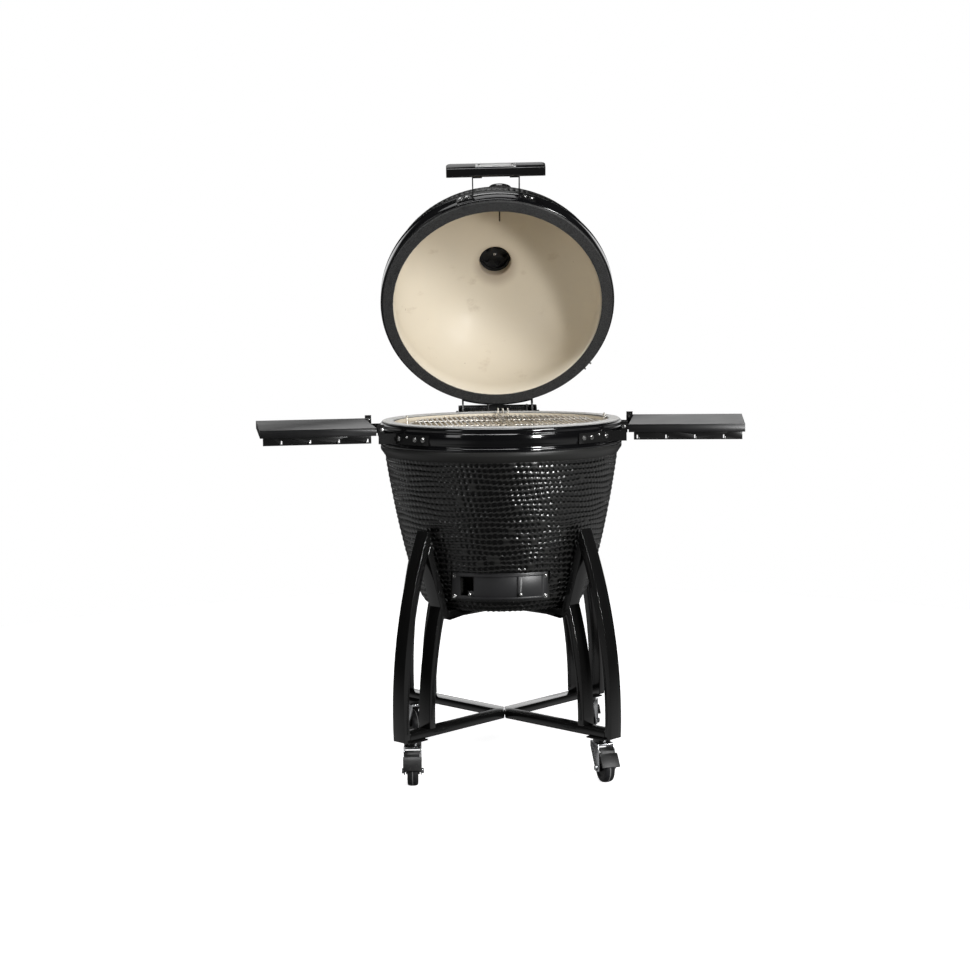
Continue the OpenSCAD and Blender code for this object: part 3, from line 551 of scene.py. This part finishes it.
def makeDome():
    rows = []
    innerHeight = dome["height"] - dome["wall"]
    boreAngle = math.acos((dome["ventRadius"] + 1.05 * dome["lip"]) / dome["innerRadius"])
    inner = domeLine(dome["innerRadius"], innerHeight, 0, boreAngle, 44)
    topAngle = math.acos(dome["netTop"] / dome["radius"])
    holeTop = dome["foot"] + dome["height"] * math.sin(math.acos(dome["ventRadius"] / dome["radius"]))
    boreFoot, lipRadius = inner[-1][1], dome["lip"]
    lip = [(dome["ventRadius"] + lipRadius * (1 - math.sin(a)), boreFoot + lipRadius * (1 - math.cos(a)))
           for a in np.linspace(0, math.pi / 2, 6)]
    rows.append(plainRow(*lip[-1]))
    rows.append(plainRow(dome["ventRadius"], holeTop - 4 * mm))
    rows.append(plainRow(dome["ventRadius"], holeTop))
    rows.append(plainRow(dome["collar"], holeTop))
    netAngle = math.asin((dome["netFoot"] - dome["foot"]) / dome["height"])
    rows += netRows(domeLine(dome["radius"], dome["height"], topAngle, netAngle, 220), dome["net"])
    for radius, height in domeLine(dome["radius"] + 1.2 * mm, dome["height"], netAngle - 0.012, 0.012, 7):
        rows.append(plainRow(radius, height))
    rimRadius, rimBottom = dome["rimRadius"], dome["rimBottom"]
    rim = [(rimRadius - 0.3 * mm, dome["foot"] - 2 * mm), (rimRadius - 0.3 * mm, rimBottom + 1 * mm),
           (rimRadius - 1.3 * mm, rimBottom), (dome["paleRim"], rimBottom),
           (dome["innerRadius"] + 2 * mm, rimBottom), (dome["innerRadius"], rimBottom + 2 * mm)]
    for radius, height in rim + inner + lip:
        rows.append(plainRow(radius, height))
    piece = stitched("domeCeramic", rows)
    markPits(piece, rows)
    piece.data.materials.append(looks["lid_glaze"].material)
    piece.data.materials.append(creamGlaze.material)
    for face in piece.data.polygons:
        radius = math.hypot(face.center.x, face.center.y)
        level = max(face.center.z - dome["foot"], 0)
        inside = (radius / (dome["innerRadius"] + 4 * mm)) ** 2 + (level / (innerHeight + 4 * mm)) ** 2 < 1
        inBore = radius < dome["ventRadius"] + 0.2 * mm and face.center.z < holeTop - 5 * mm
        onRim = radius < dome["paleRim"] + 1 * mm and face.center.z < rimBottom + 1.5 * mm
        face.material_index = 1 if inside or inBore or onRim else 0
    editAll(piece)
    bpy.ops.mesh.remove_doubles(threshold=1e-5)
    bpy.ops.mesh.select_all(action="SELECT")
    bpy.ops.mesh.normals_make_consistent(inside=False)
    backToObject()
    smooth(piece, 60)
    piece.data.transform(openLid)
    return settle(piece, "domeCeramic", "lid", "lid_glaze", ("lid_dome",), keepSlots=True)


bowl = {"curve": [(0.2998, 0.815), (0.2813, 0.681), (0.2303, 0.428), (0.1923, 0.428)],
        "belt": [(0.3112, 0.8432), (0.3138, 0.8405), (0.3140, 0.8380), (0.3140, 0.8325), (0.3134, 0.8300),
                 (0.3080, 0.8225), (0.3042, 0.8165), (0.3025, 0.8152)],
        "net": {"cellWidth": 14 * mm, "cellHeight": 14.2 * mm, "ridge": 3.1 * mm, "drift": 2.2, "seed": 9},
        "draftTurn": -3.5, "recessHalf": 31.5, "recess": (0.458, 0.534), "bottom": (0.1925, 0.4278),
        "lining": [(0.2755, 0.815), (0.257, 0.681), (0.206, 0.456), (0.170, 0.456)],
        "liningTop": [(276.6, 899.2), (276.2, 870), (275.1, 815)], "liningFoot": 0.64}


def makeBowlSkin():
    rows = [plainRow(radius, height, 384) for radius, height in bowl["belt"]]
    line = [(radius + 0.3 * mm, height) for radius, height in bezierLine(bowl["curve"], 260)]
    rows += netRows(line, bowl["net"])
    rows.append(plainRow(*bowl["bottom"], 384))
    piece = stitched("bowlSkin", rows)
    markPits(piece, rows)
    editAll(piece)
    bpy.ops.mesh.normals_make_consistent(inside=False)
    backToObject()
    # the draft frame's seat is cut out: two upright planes through the axis and two level ones
    low, high = bowl["recess"]
    left, right = (math.radians(bowl["draftTurn"] + side * bowl["recessHalf"] - 90) for side in (-1, 1))

    def nearSeat(centre, normal):
        return centre.y < 0 and low - 0.03 < centre.z < high + 0.03 and abs(centre.x) < 0.20
    cuts = [((0, 0, high), (0, 0, 1)), ((0, 0, low), (0, 0, 1))]
    cuts += [((0, 0, 0), (-math.sin(angle), math.cos(angle), 0)) for angle in (left, right)]
    for point, normal in cuts:
        chooseFaces(piece, nearSeat)
        bpy.ops.mesh.bisect(plane_co=point, plane_no=normal)
        backToObject()

    def inSeat(centre, normal):
        angle = math.atan2(centre.y, centre.x)
        return low < centre.z < high and left < angle < right
    chooseFaces(piece, inSeat)
    bpy.ops.mesh.delete(type="FACE")
    bpy.ops.mesh.delete_loose()
    backToObject()
    smooth(piece, 60)
    return settle(piece, "bowlSkin", "base", "bowl_glaze", finish=bowlNetGlaze)


makeDome()
makeBowlSkin()
print("ceramic made")


bandProfiles = {
    "bowl": [(311.2, 842), (313, 842), (314.4, 842.6), (315, 844), (315, 847.5), (314.2, 849.2),
             (313, 850.3), (312.6, 852), (312.6, 858), (313.2, 859.6), (314.4, 860.8), (315, 862.5),
             (315, 883.5), (314.4, 885.2), (313, 886.4), (312.6, 887.5), (312.6, 889), (313.4, 890.2),
             (314.3, 891.4), (314.6, 893), (314.3, 895.4), (313.4, 897.6), (312, 899.3), (311.2, 899.4)],
    "lid": [(311.2, 910.1), (312.2, 910.1), (313.4, 910.8), (314.4, 912.2), (315, 915), (315, 940.6),
            (314.4, 942.2), (313.2, 943.2), (313, 944.8), (313.2, 946.4), (314.2, 947.8), (315, 949.4),
            (315, 956.2), (314.4, 958), (313, 959), (307.6, 959), (307.6, 957.3), (311.2, 957)],
}


def makeBands():
    for name, body in (("bowl", "base"), ("lid", "lid")):
        piece = spun([(r * mm, z * mm) for r, z in bandProfiles[name]], 320)
        smooth(piece, 50)
        if name == "lid":
            piece.data.transform(openLid)
        settle(piece, name + "Band", body, "band_paint", (name + "_band",))


felt = {"outer": 309 * mm, "inner": 281 * mm, "fuzz": 0.8 * mm,
        "bowl": (0.8995, 0.9035), "lid": (0.9040, 0.9090)}


def makeFelts():
    for name, body in (("bowl", "base"), ("lid", "lid")):
        low, high = felt[name]
        outer, inner, ease = felt["outer"], felt["inner"], 1.0 * mm
        across = np.linspace(inner + ease, outer - ease, 9)
        points = [(inner, low + ease), (inner, high - ease)] + [(r, high) for r in across]
        points += [(outer, high - ease), (outer, low + ease)] + [(r, low) for r in across[::-1]]
        piece = spun(points, 420)
        fuzz = bpy.data.textures.new(name + "Fuzz", "CLOUDS")
        fuzz.noise_scale = 0.006
        fuzz.noise_depth = 3
        shape(piece, "DISPLACE", texture=fuzz, strength=felt["fuzz"], mid_level=0.55, texture_coords="LOCAL")
        smooth(piece, 60)
        if name == "lid":
            piece.data.transform(openLid)
        settle(piece, name + "Gasket", body, name + "_felt", (name + "_gasket",))


makeBands()
makeFelts()
print("bands and felt made")


stand = {"ease": 3.2 * mm, "steps": 3}


def makeStand():
    tubes = ["stand_leg_" + corner for corner in corners]
    tubes += ["stand_brace_frame_left", "stand_brace_frame_right", "lower_cross_left", "lower_cross_right"]
    for nodeName in tubes:
        piece = reworked(nodeName, stand["ease"], stand["steps"])
        settle(piece, nodeName + "_tube", "base", "frame_paint", (nodeName,))
    piece = reworked("caster_plates", 0.8 * mm)
    settle(piece, "caster_plates_eased", "base", "frame_paint", ("caster_plates",))


def washerRing(radius, outer):
    return spun([(radius * 0.3, -0.2 * mm), (outer, -0.2 * mm), (outer, 0.5 * mm),
                 (outer * 0.94, 0.9 * mm), (radius * 0.3, 0.9 * mm)], 40)


def hexBolt(radius, height, washer):
    # a hexagon head with its corners cut off, on a dished washer
    head = spun([(0, 0), (radius * 0.92, 0), (radius, height * 0.12), (radius, height * 0.72),
                 (radius * 0.82, height), (0, height)], 6)
    pickOnly(head)
    roundEdges(head, radius * 0.05, 2, 20)
    return joined([head, washerRing(radius, washer)])


def domedBolt(radius, height, washer):
    # a round head with a hexagon socket, on a washer
    turns = np.linspace(0, 1.05, 8)
    arc = [(radius * math.cos(a), height * (0.25 + 0.75 * math.sin(a))) for a in turns]
    socket = [(radius * 0.42, height * 0.80), (radius * 0.40, height * 0.30), (0, height * 0.28)]
    head = spun([(0, 0), (radius, 0)] + arc + socket, 36)
    smooth(head, 30)
    return joined([head, washerRing(radius, washer)])


def spread(source, matrices, name, body, replaced=()):
    piece = joined([copied(source, matrix) for matrix in matrices])
    drop(source)
    return settle(piece, name, body, "bolt_steel", replaced)


# radius, height and angles of each group; the head's radius and height and its washer's radius for each kind
boltPlaces = {"strap": (318.4 * mm, 869 * mm, (39, 43.8, 55)), "hinge": (319.4 * mm, 866 * mm, (8,)),
              "screw": (318.4 * mm, 874 * mm, (49,)), "lid": (318.5 * mm, 933 * mm, (13.8, 17)),
              "lidHinge": (319.5 * mm, 928 * mm, (8,)), "clamp": (314.6 * mm, 923 * mm, (127, 131))}
frameBolts = {"radius": 238.2 * mm, "angles": (-28.9, 28.9), "heights": (469.5 * mm, 522 * mm)}
boltSizes = {"domed": (4.6 * mm, 3.6 * mm, 5.8 * mm), "hexed": (5.2 * mm, 3.6 * mm, 6.4 * mm),
             "small": (2.8 * mm, 2.4 * mm, 3.4 * mm), "nut": (4.2 * mm, 3.4 * mm, 4.8 * mm)}


def ring(group, turn=0.0, sides=(-1, 1)):
    # the group's angles to both sides of the turn
    radius, height, angles = boltPlaces[group]
    return [facing(radius, height, turn + side * angle) for side in sides for angle in angles]


def makeBolts():
    places = [facing(frameBolts["radius"], height, angle + bowl["draftTurn"])
              for angle in frameBolts["angles"] for height in frameBolts["heights"]]
    spread(domedBolt(*boltSizes["domed"]), places, "draftBolts", "base", ("bowl_bolts",))
    twists = boltPlaces["strap"][2] * 2
    places = [place @ Matrix.Rotation(twist, 4, "Z") for place, twist in zip(ring("strap"), twists)]
    spread(hexBolt(*boltSizes["hexed"]), places + ring("hinge", 180), "strapBolts", "base")
    places = [openLid @ place for place in ring("lid", handleTurn) + ring("lidHinge", 180)]
    spread(hexBolt(*boltSizes["hexed"]), places, "lidBolts", "lid", ("lid_bolts",))
    spread(domedBolt(*boltSizes["small"]), ring("screw"), "strapScrews", "base")
    tip = spun([(0, 0), (2.4 * mm, 0), (2.4 * mm, 8 * mm), (1.8 * mm, 9 * mm), (0, 9 * mm)], 24)
    clamp = joined([tip, hexBolt(*boltSizes["nut"])])
    spread(clamp, [openLid @ place for place in ring("clamp", sides=(1,))], "clampBolts", "lid")


makeStand()
makeBolts()
print("stand and bolts made")


def secondFinish(piece, finish, test):
    # gives the faces that pass the test a second finish
    piece.data.materials.append(finish.material)
    last = len(piece.data.materials) - 1
    for face in piece.data.polygons:
        if test(face.center):
            face.material_index = last


def eased(nodeName, body, width, segments=2, angle=30, flat=0.6, finish=None, test=None):
    slotName = next(p["material_slot"] for p in frame["record"]["subparts"] if p["node"] == nodeName)
    piece = reworked(nodeName, width, segments, angle, flat)
    piece.data.materials.clear()
    piece.data.materials.append(looks[slotName].material)
    if finish:
        secondFinish(piece, finish, test)
    return settle(piece, nodeName + "_eased", body, slotName, (nodeName,), keepSlots=True)


tables = {"corner": (0.3175, -0.174), "turn": 7.5, "hookFront": 0.5 * mm, "hookTop": 868 * mm,
          "sheetEase": 0.7 * mm, "railEase": 0.35 * mm}


def makeTables():
    for side in ("left", "right"):
        x, y = tables["corner"]
        home = Matrix.Translation((x, y, 0)) @ Matrix.Rotation(math.radians(-tables["turn"]), 4, "Z")
        home.invert()

        def onHook(centre):
            local = home @ Vector((abs(centre.x), centre.y, centre.z))
            return local.y < tables["hookFront"] and local.z < tables["hookTop"]
        eased("table_top_" + side, "table_" + side, tables["sheetEase"])
        eased("table_rails_" + side, "table_" + side, tables["railEase"],
              finish=looks["bolt_steel"], test=onHook)
        eased("table_bracket_" + side, "base", 0.5 * mm)
    eased("table_pins", "base", 0.3 * mm)


grip = {"barEase": 2.0 * mm, "barSteps": 3, "armEase": 0.5 * mm, "plateEase": 0.3 * mm, "plateFace": -0.3975}


def makeHandle():
    eased("handle_bar", "lid", grip["barEase"], grip["barSteps"], 25)
    eased("handle_arms", "lid", grip["armEase"])
    shut = Matrix.Rotation(math.radians(-handleTurn), 4, "Z") @ openLid.inverted()

    def onMark(centre):
        return (shut @ centre).y < grip["plateFace"] - 0.4 * mm
    eased("badge_plate", "lid", grip["plateEase"], finish=inkBlack, test=onMark)


hinge = {"ease": 0.7 * mm, "coil": 15 * mm, "wire": 2.75 * mm, "pitch": 6.0 * mm, "turns": 10,
         "start": 24 * mm, "leg": 26 * mm}


def makeSpring(side):
    startAfresh()
    upright = (math.pi / 2, 0, 0)
    bpy.ops.mesh.primitive_circle_add(vertices=12, radius=hinge["wire"], location=(hinge["coil"], 0, 0),
                                      rotation=upright)
    coil = bpy.context.object
    pickOnly(coil)
    bpy.ops.object.transform_apply(location=True, rotation=True, scale=True)
    shape(coil, "SCREW", axis="Z", screw_offset=hinge["pitch"], iterations=hinge["turns"] - 1,
          steps=28, render_steps=28, use_merge_vertices=True)
    legs = []
    for height, lean in ((0.0, 1), ((hinge["turns"] - 1) * hinge["pitch"], -1)):
        startAfresh()
        bpy.ops.mesh.primitive_cylinder_add(vertices=12, radius=hinge["wire"], depth=hinge["leg"],
                                            location=(hinge["coil"], lean * hinge["leg"] / 2, height),
                                            rotation=upright)
        legs.append(bpy.context.object)
    piece = joined([coil] + legs)
    pickOnly(piece)
    bpy.ops.object.transform_apply(location=True, rotation=True, scale=True)
    editAll(piece)
    bpy.ops.mesh.normals_make_consistent(inside=False)
    backToObject()
    smooth(piece, 50)
    onPin = Matrix.Translation((side * (hinge["start"] + hinge["wire"]), lidHinge["y"], lidHinge["z"]))
    piece.data.transform(onPin @ Matrix.Rotation(side * math.pi / 2, 4, "Y")
                         @ Matrix.Rotation(math.radians(-90), 4, "Z"))
    return piece


def makeHinge():
    eased("hinge_lower_bracket", "base", hinge["ease"])
    eased("hinge_upper_bracket", "lid", hinge["ease"])
    eased("hinge_pin", "base", 0.5 * mm)
    springs = joined([makeSpring(-1), makeSpring(1)])
    settle(springs, "hingeSprings", "base", "spring_paint", ("hinge_springs",))


def textMark(words, size, matrix):
    startAfresh()
    bpy.ops.object.text_add(location=(0, 0, 0))
    mark = bpy.context.object
    mark.data.body = words
    mark.data.size = size
    mark.data.align_x = "CENTER"
    mark.data.align_y = "CENTER"
    mark.data.extrude = 0.05 * mm
    mark.data.resolution_u = 3
    bpy.ops.object.convert(target="MESH")
    mark = bpy.context.object
    mark.data.transform(matrix)
    return mark


def makeGauge():
    edge, face = gauge["bezel"], gauge["face"]
    case = spun([(0, 2.2 * mm), (edge - 2.5 * mm, 2.2 * mm), (edge - 0.8 * mm, 3 * mm), (edge, 5 * mm),
                 (edge, 12 * mm), (edge - 0.7 * mm, 15 * mm), (edge - 2.2 * mm, 16.8 * mm), (face, 17 * mm),
                 (face, 7 * mm), (0, 7 * mm)], 96)
    stem = spun([(0, -18 * mm), (3.4 * mm, -18 * mm), (4.5 * mm, -16 * mm), (4.5 * mm, 2.3 * mm),
                 (0, 2.3 * mm)], 32)
    probe = spun([(0, -gauge["probe"]), (1.2 * mm, -80.6 * mm), (2.2 * mm, -78 * mm), (2.2 * mm, -17 * mm),
                  (0, -17 * mm)], 24)
    body = joined([case, stem, probe])
    body.data.transform(onGauge)
    body.data.materials.clear()
    body.data.materials.append(looks["gauge_paint"].material)
    inward = onGauge.inverted()
    secondFinish(body, probeBrown, lambda centre: (inward @ centre).z < -16 * mm)
    settle(body, "gaugeBody", "lid", "gauge_paint", ("thermometer_body",), keepSlots=True)
    dial = spun([(0, 7.05 * mm), (face - 0.4 * mm, 7.05 * mm), (face - 0.4 * mm, 7.9 * mm),
                 (0, 7.9 * mm)], 72)
    dial.data.transform(onGauge)
    settle(dial, "gaugeDial", "lid", "gauge_face", ("thermometer_dial",))
    marks = []
    for step in range(gauge["ticks"]):
        turn = Matrix.Rotation(math.radians(225 - step * gauge["step"]), 4, "Z")
        long = step % gauge["numbered"] == 0
        length = (5 if long else 2.6) * mm
        startAfresh()
        bpy.ops.mesh.primitive_cube_add(size=1, location=(0, 0, 0))
        tick = bpy.context.object
        tick.data.transform(turn @ Matrix.Translation((face - 2 * mm - length / 2, 0, 8.0 * mm))
                            @ Matrix.Diagonal((length, (0.8 if long else 0.4) * mm, 0.12 * mm, 1)))
        marks.append(tick)
        if long:
            spot = turn @ Vector((face - 10.5 * mm, 0, 8.0 * mm))
            number = 50 + step // gauge["numbered"] * 50
            marks.append(textMark(str(number), 5 * mm, Matrix.Translation(spot)))
    marks.append(textMark("°C", 5 * mm, Matrix.Translation((0, -12 * mm, 8.0 * mm))))
    ticks = joined(marks)
    ticks.data.transform(onGauge)
    settle(ticks, "gaugeMarks", "lid", "gauge_face", finish=inkBlack)
    lens = spun([(0, 15.1 * mm), (face - 0.4 * mm, 14.4 * mm), (face - 0.4 * mm, 15.4 * mm),
                 (face - 9 * mm, 16.3 * mm), (0, 16.6 * mm)], 72)
    lens.data.transform(onGauge)
    settle(lens, "gaugeLens", "lid", "gauge_glass", ("thermometer_lens",))
    eased("thermometer_needle", "gauge_needle", 0.12 * mm)


vent = {"ease": 0.9 * mm, "screwHeight": 1.2042}


def makeVent():
    eased("vent_base", "lid", vent["ease"])
    eased("vent_slide_plate", "vent_slide", 0.6 * mm)
    eased("vent_daisy_wheel", "vent_wheel", 0.6 * mm)
    # the screw's head is almost flush, so that it clears the base as the slide opens
    screw = spun([(0, -1 * mm), (3.6 * mm, -1 * mm), (3.6 * mm, 0.02 * mm), (3.2 * mm, 0.12 * mm),
                  (0, 0.15 * mm)], 36)
    under = openLid @ Matrix.Translation((0, 0, vent["screwHeight"])) @ Matrix.Rotation(math.pi, 4, "X")
    spread(screw, [under], "ventScrew", "vent_slide")


draft = {"frameEase": 0.5 * mm, "doorEase": 0.25 * mm,
         "knobFrom": {"left": 242.6 * mm, "right": 245.2 * mm}}


def makeDraft():
    eased("draft_frame", "base", draft["frameEase"])
    for side, start in draft["knobFrom"].items():
        eased("draft_door_" + side, "draft_door_" + side, draft["doorEase"], flat=0,
              finish=looks["bolt_steel"], test=lambda centre: math.hypot(centre.x, centre.y) > start)


def makeFire():
    eased("fire_box", "base", 1.4 * mm, 2, 35)
    eased("fire_ring", "base", 1.6 * mm, 3, 35)
    eased("charcoal_grate", "base", 1.0 * mm)
    curve = bezierLine(bowl["lining"], 26)[1:]
    lining = bowl["liningTop"] + [(r / mm - 0.4, z / mm) for r, z in curve if z > bowl["liningFoot"]]
    back = [(r + 0.3, z) for r, z in lining[::-1]]
    piece = spun([(r * mm, z * mm) for r, z in lining + back], 192)
    settle(piece, "bowlLining", "base", "bowl_glaze", finish=creamGlaze)


def makeGrates():
    eased("grid_rack", "base", 0, flat=0)
    for nodeName in ("cooking_grate_left", "cooking_grate_right"):
        eased(nodeName, nodeName, 0, flat=0)


wheel = {"radius": 37.5 * mm, "half": 13.5 * mm, "trail": 22 * mm, "spread": 338 * mm,
         "turns": {"front_left": 0, "front_right": 17, "rear_left": 200, "rear_right": 165}}


def makeCasters():
    r, h = wheel["radius"], wheel["half"]
    side = [(4.1 * mm, h + 3.8 * mm), (8.6 * mm, h + 3.8 * mm), (9.2 * mm, h + 3.2 * mm),
            (10 * mm, h - 3 * mm), (23 * mm, h - 3 * mm), (24.5 * mm, h - 1.2 * mm), (27 * mm, h - 0.3 * mm),
            (r - 5 * mm, h), (r - 2.6 * mm, h - 1.2 * mm), (r - 1 * mm, h - 4 * mm),
            (r - 0.2 * mm, h - 8 * mm), (r, 1.0 * mm)]
    profile = [(a, -b) for a, b in side] + [(r, -0.9 * mm), (r, 0.9 * mm)] + side[::-1]
    for corner, angle in corners.items():
        turn = math.radians(wheel["turns"][corner])
        x, y = (wheel["spread"] * part(math.radians(angle)) for part in (math.cos, math.sin))
        home = (Matrix.Translation((x, y, 0)) @ Matrix.Rotation(turn, 4, "Z")
                @ Matrix.Translation((0, -wheel["trail"], r)) @ Matrix.Rotation(math.pi / 2, 4, "Y"))
        piece = spun(profile, 96)
        piece.data.transform(home)
        piece.data.materials.clear()
        piece.data.materials.append(looks["wheel_rubber"].material)
        back = home.inverted()
        secondFinish(piece, treadGrey, lambda centre: abs((back @ centre).z) < 0.95 * mm)
        settle(piece, "wheelTyre_" + corner, "wheel_" + corner, "wheel_rubber",
               ("caster_wheel_" + corner,), keepSlots=True)
        eased("caster_fork_" + corner, "caster_" + corner, 0.5 * mm)
        eased("caster_brake_" + corner, "brake_" + corner, 0.8 * mm, 3)


makeTables()
print("tables made")
makeHandle()
makeHinge()
print("handle and hinge made")
makeGauge()
makeVent()
print("gauge and vent made")
makeDraft()
makeFire()
makeGrates()
print("fire box and grates made")
makeCasters()
eased("stand_bolts", "base", 0.3 * mm)
print("casters made")


room = {"floorRadius": 2.7, "floorRing": 0.4, "floorGlow": 0.85,
        "backGlow": 1.0, "frontGlow": 0.05, "sideGlow": 0.35}


def makeFloor():
    startAfresh()
    bpy.ops.mesh.primitive_circle_add(vertices=128, radius=room["floorRadius"], fill_type="NGON",
                                      location=(0, 0.1, 0))
    floor = bpy.context.object
    floor.name = "floor"
    editAll(floor, "FACE")
    bpy.ops.mesh.inset(thickness=room["floorRing"])
    backToObject()
    finish = Finish("floorPaper", {"Specular IOR Level": 0.1})
    cloud = finish.noise(3, 3)
    finish.feed({"Base Color": finish.tint(cloud, (0.86, 0.86, 0.86), (0.90, 0.90, 0.90)),
                 "Roughness": 0.8 + cloud * 0.1, "Normal": finish.bump(finish.noise(300, 2), 0.1 * mm, 0.2)})
    finish.shader.inputs["Emission Color"].default_value = (1, 1, 1, 1)
    finish.shader.inputs["Emission Strength"].default_value = room["floorGlow"]
    floor.data.materials.append(finish.material)
    floor.visible_diffuse = False
    floor.visible_glossy = False


def makeWorld():
    # white where the camera looks; to every other ray bright low down behind the grill and beside it
    world = bpy.data.worlds.new("studio")
    scene.world = world
    world.use_nodes = True
    sky = Graph(world.node_tree)
    background = sky.tree.nodes["Background"]
    isSeen = sky.node("ShaderNodeLightPath", {}, {}, "Is Camera Ray")
    way = sky.node("ShaderNodeTexCoord", {}, {}, "Generated")
    across, along, up = (sky.node("ShaderNodeSeparateXYZ", {}, {0: way}, i) for i in range(3))
    behind = sky.span(along, 0.3, 0.8, 0.0, room["backGlow"]) * sky.span(up, -0.02, 0.03)
    behind = behind * sky.span(up, 0.32, 0.16)
    beside = sky.span(across * across, 0.12, 0.5, room["frontGlow"], room["sideGlow"])
    beside = beside * sky.span(0 - up, 0.02, 0.3)
    strength = isSeen + (1 - isSeen) * (behind + beside + 0.01)
    sky.join(strength, background.inputs["Strength"])
    background.inputs["Color"].default_value = (1, 1, 1, 1)


# place, aim, size and watts of each light; the fill only lights, and never shows in a reflection
lights = {"keyBox": ((2.5, -2.7, 2.5), (0, 0, 0.8), (0.9, 1.1), 72),
          "sparkBox": ((1.9, -3.2, 1.25), (0, 0, 0.7), (0.45, 0.45), 70),
          "leftBox": ((-2.6, -2.6, 1.9), (0, 0, 0.8), (0.9, 1.5), 11),
          "topBox": ((-0.3, -0.9, 4.0), (0, 0.1, 0.8), (2.2, 1.6), 95),
          "backBox": ((-0.35, 1.45, 3.3), (0, 0.1, 1.5), (1.6, 0.8), 4),
          "fillBox": ((-0.6, -4.2, 1.6), (0, 0, 0.9), (3.0, 2.0), 3)}


def addSoftbox(name, place, aim, size, power):
    light = bpy.data.lights.new(name, "AREA")
    light.shape = "RECTANGLE"
    light.size, light.size_y = size
    light.energy = power
    lamp = bpy.data.objects.new(name, light)
    scene.collection.objects.link(lamp)
    lamp.location = place
    lamp.rotation_mode = "QUATERNION"
    lamp.rotation_quaternion = (Vector(aim) - Vector(place)).to_track_quat("-Z", "Y")
    lamp.visible_glossy = name != "fillBox"


eye = {"distance": 4.8312, "azimuth": -0.0253, "height": 1.2348, "pitch": 0.1042, "roll": -0.0136,
       "yaw": 0.0090, "lens": 68.85}


def makeCamera():
    camera = bpy.data.cameras.new("eye")
    camera.lens = eye["lens"]
    camera.sensor_width = 36
    camera.clip_start, camera.clip_end = 0.1, 100
    seat = bpy.data.objects.new("eye", camera)
    scene.collection.objects.link(seat)
    azimuth, pitch = eye["azimuth"], eye["pitch"]
    seat.location = (math.sin(azimuth) * eye["distance"], -math.cos(azimuth) * eye["distance"], eye["height"])
    turn = azimuth + eye["yaw"]
    ahead = Vector((-math.sin(turn) * math.cos(pitch), math.cos(turn) * math.cos(pitch), -math.sin(pitch)))
    right = Vector((math.cos(turn), math.sin(turn), 0))
    up = right.cross(ahead)
    tilted = right * math.cos(eye["roll"]) + up * math.sin(eye["roll"])
    raised = up * math.cos(eye["roll"]) - right * math.sin(eye["roll"])
    seat.rotation_mode = "QUATERNION"
    seat.rotation_quaternion = Matrix((tilted, raised, -ahead)).transposed().to_quaternion()
    scene.camera = seat


makeFloor()
makeWorld()
for lightName, values in lights.items():
    addSoftbox(lightName, *values)
makeCamera()
scene.view_settings.view_transform = "Standard"
print("room made")
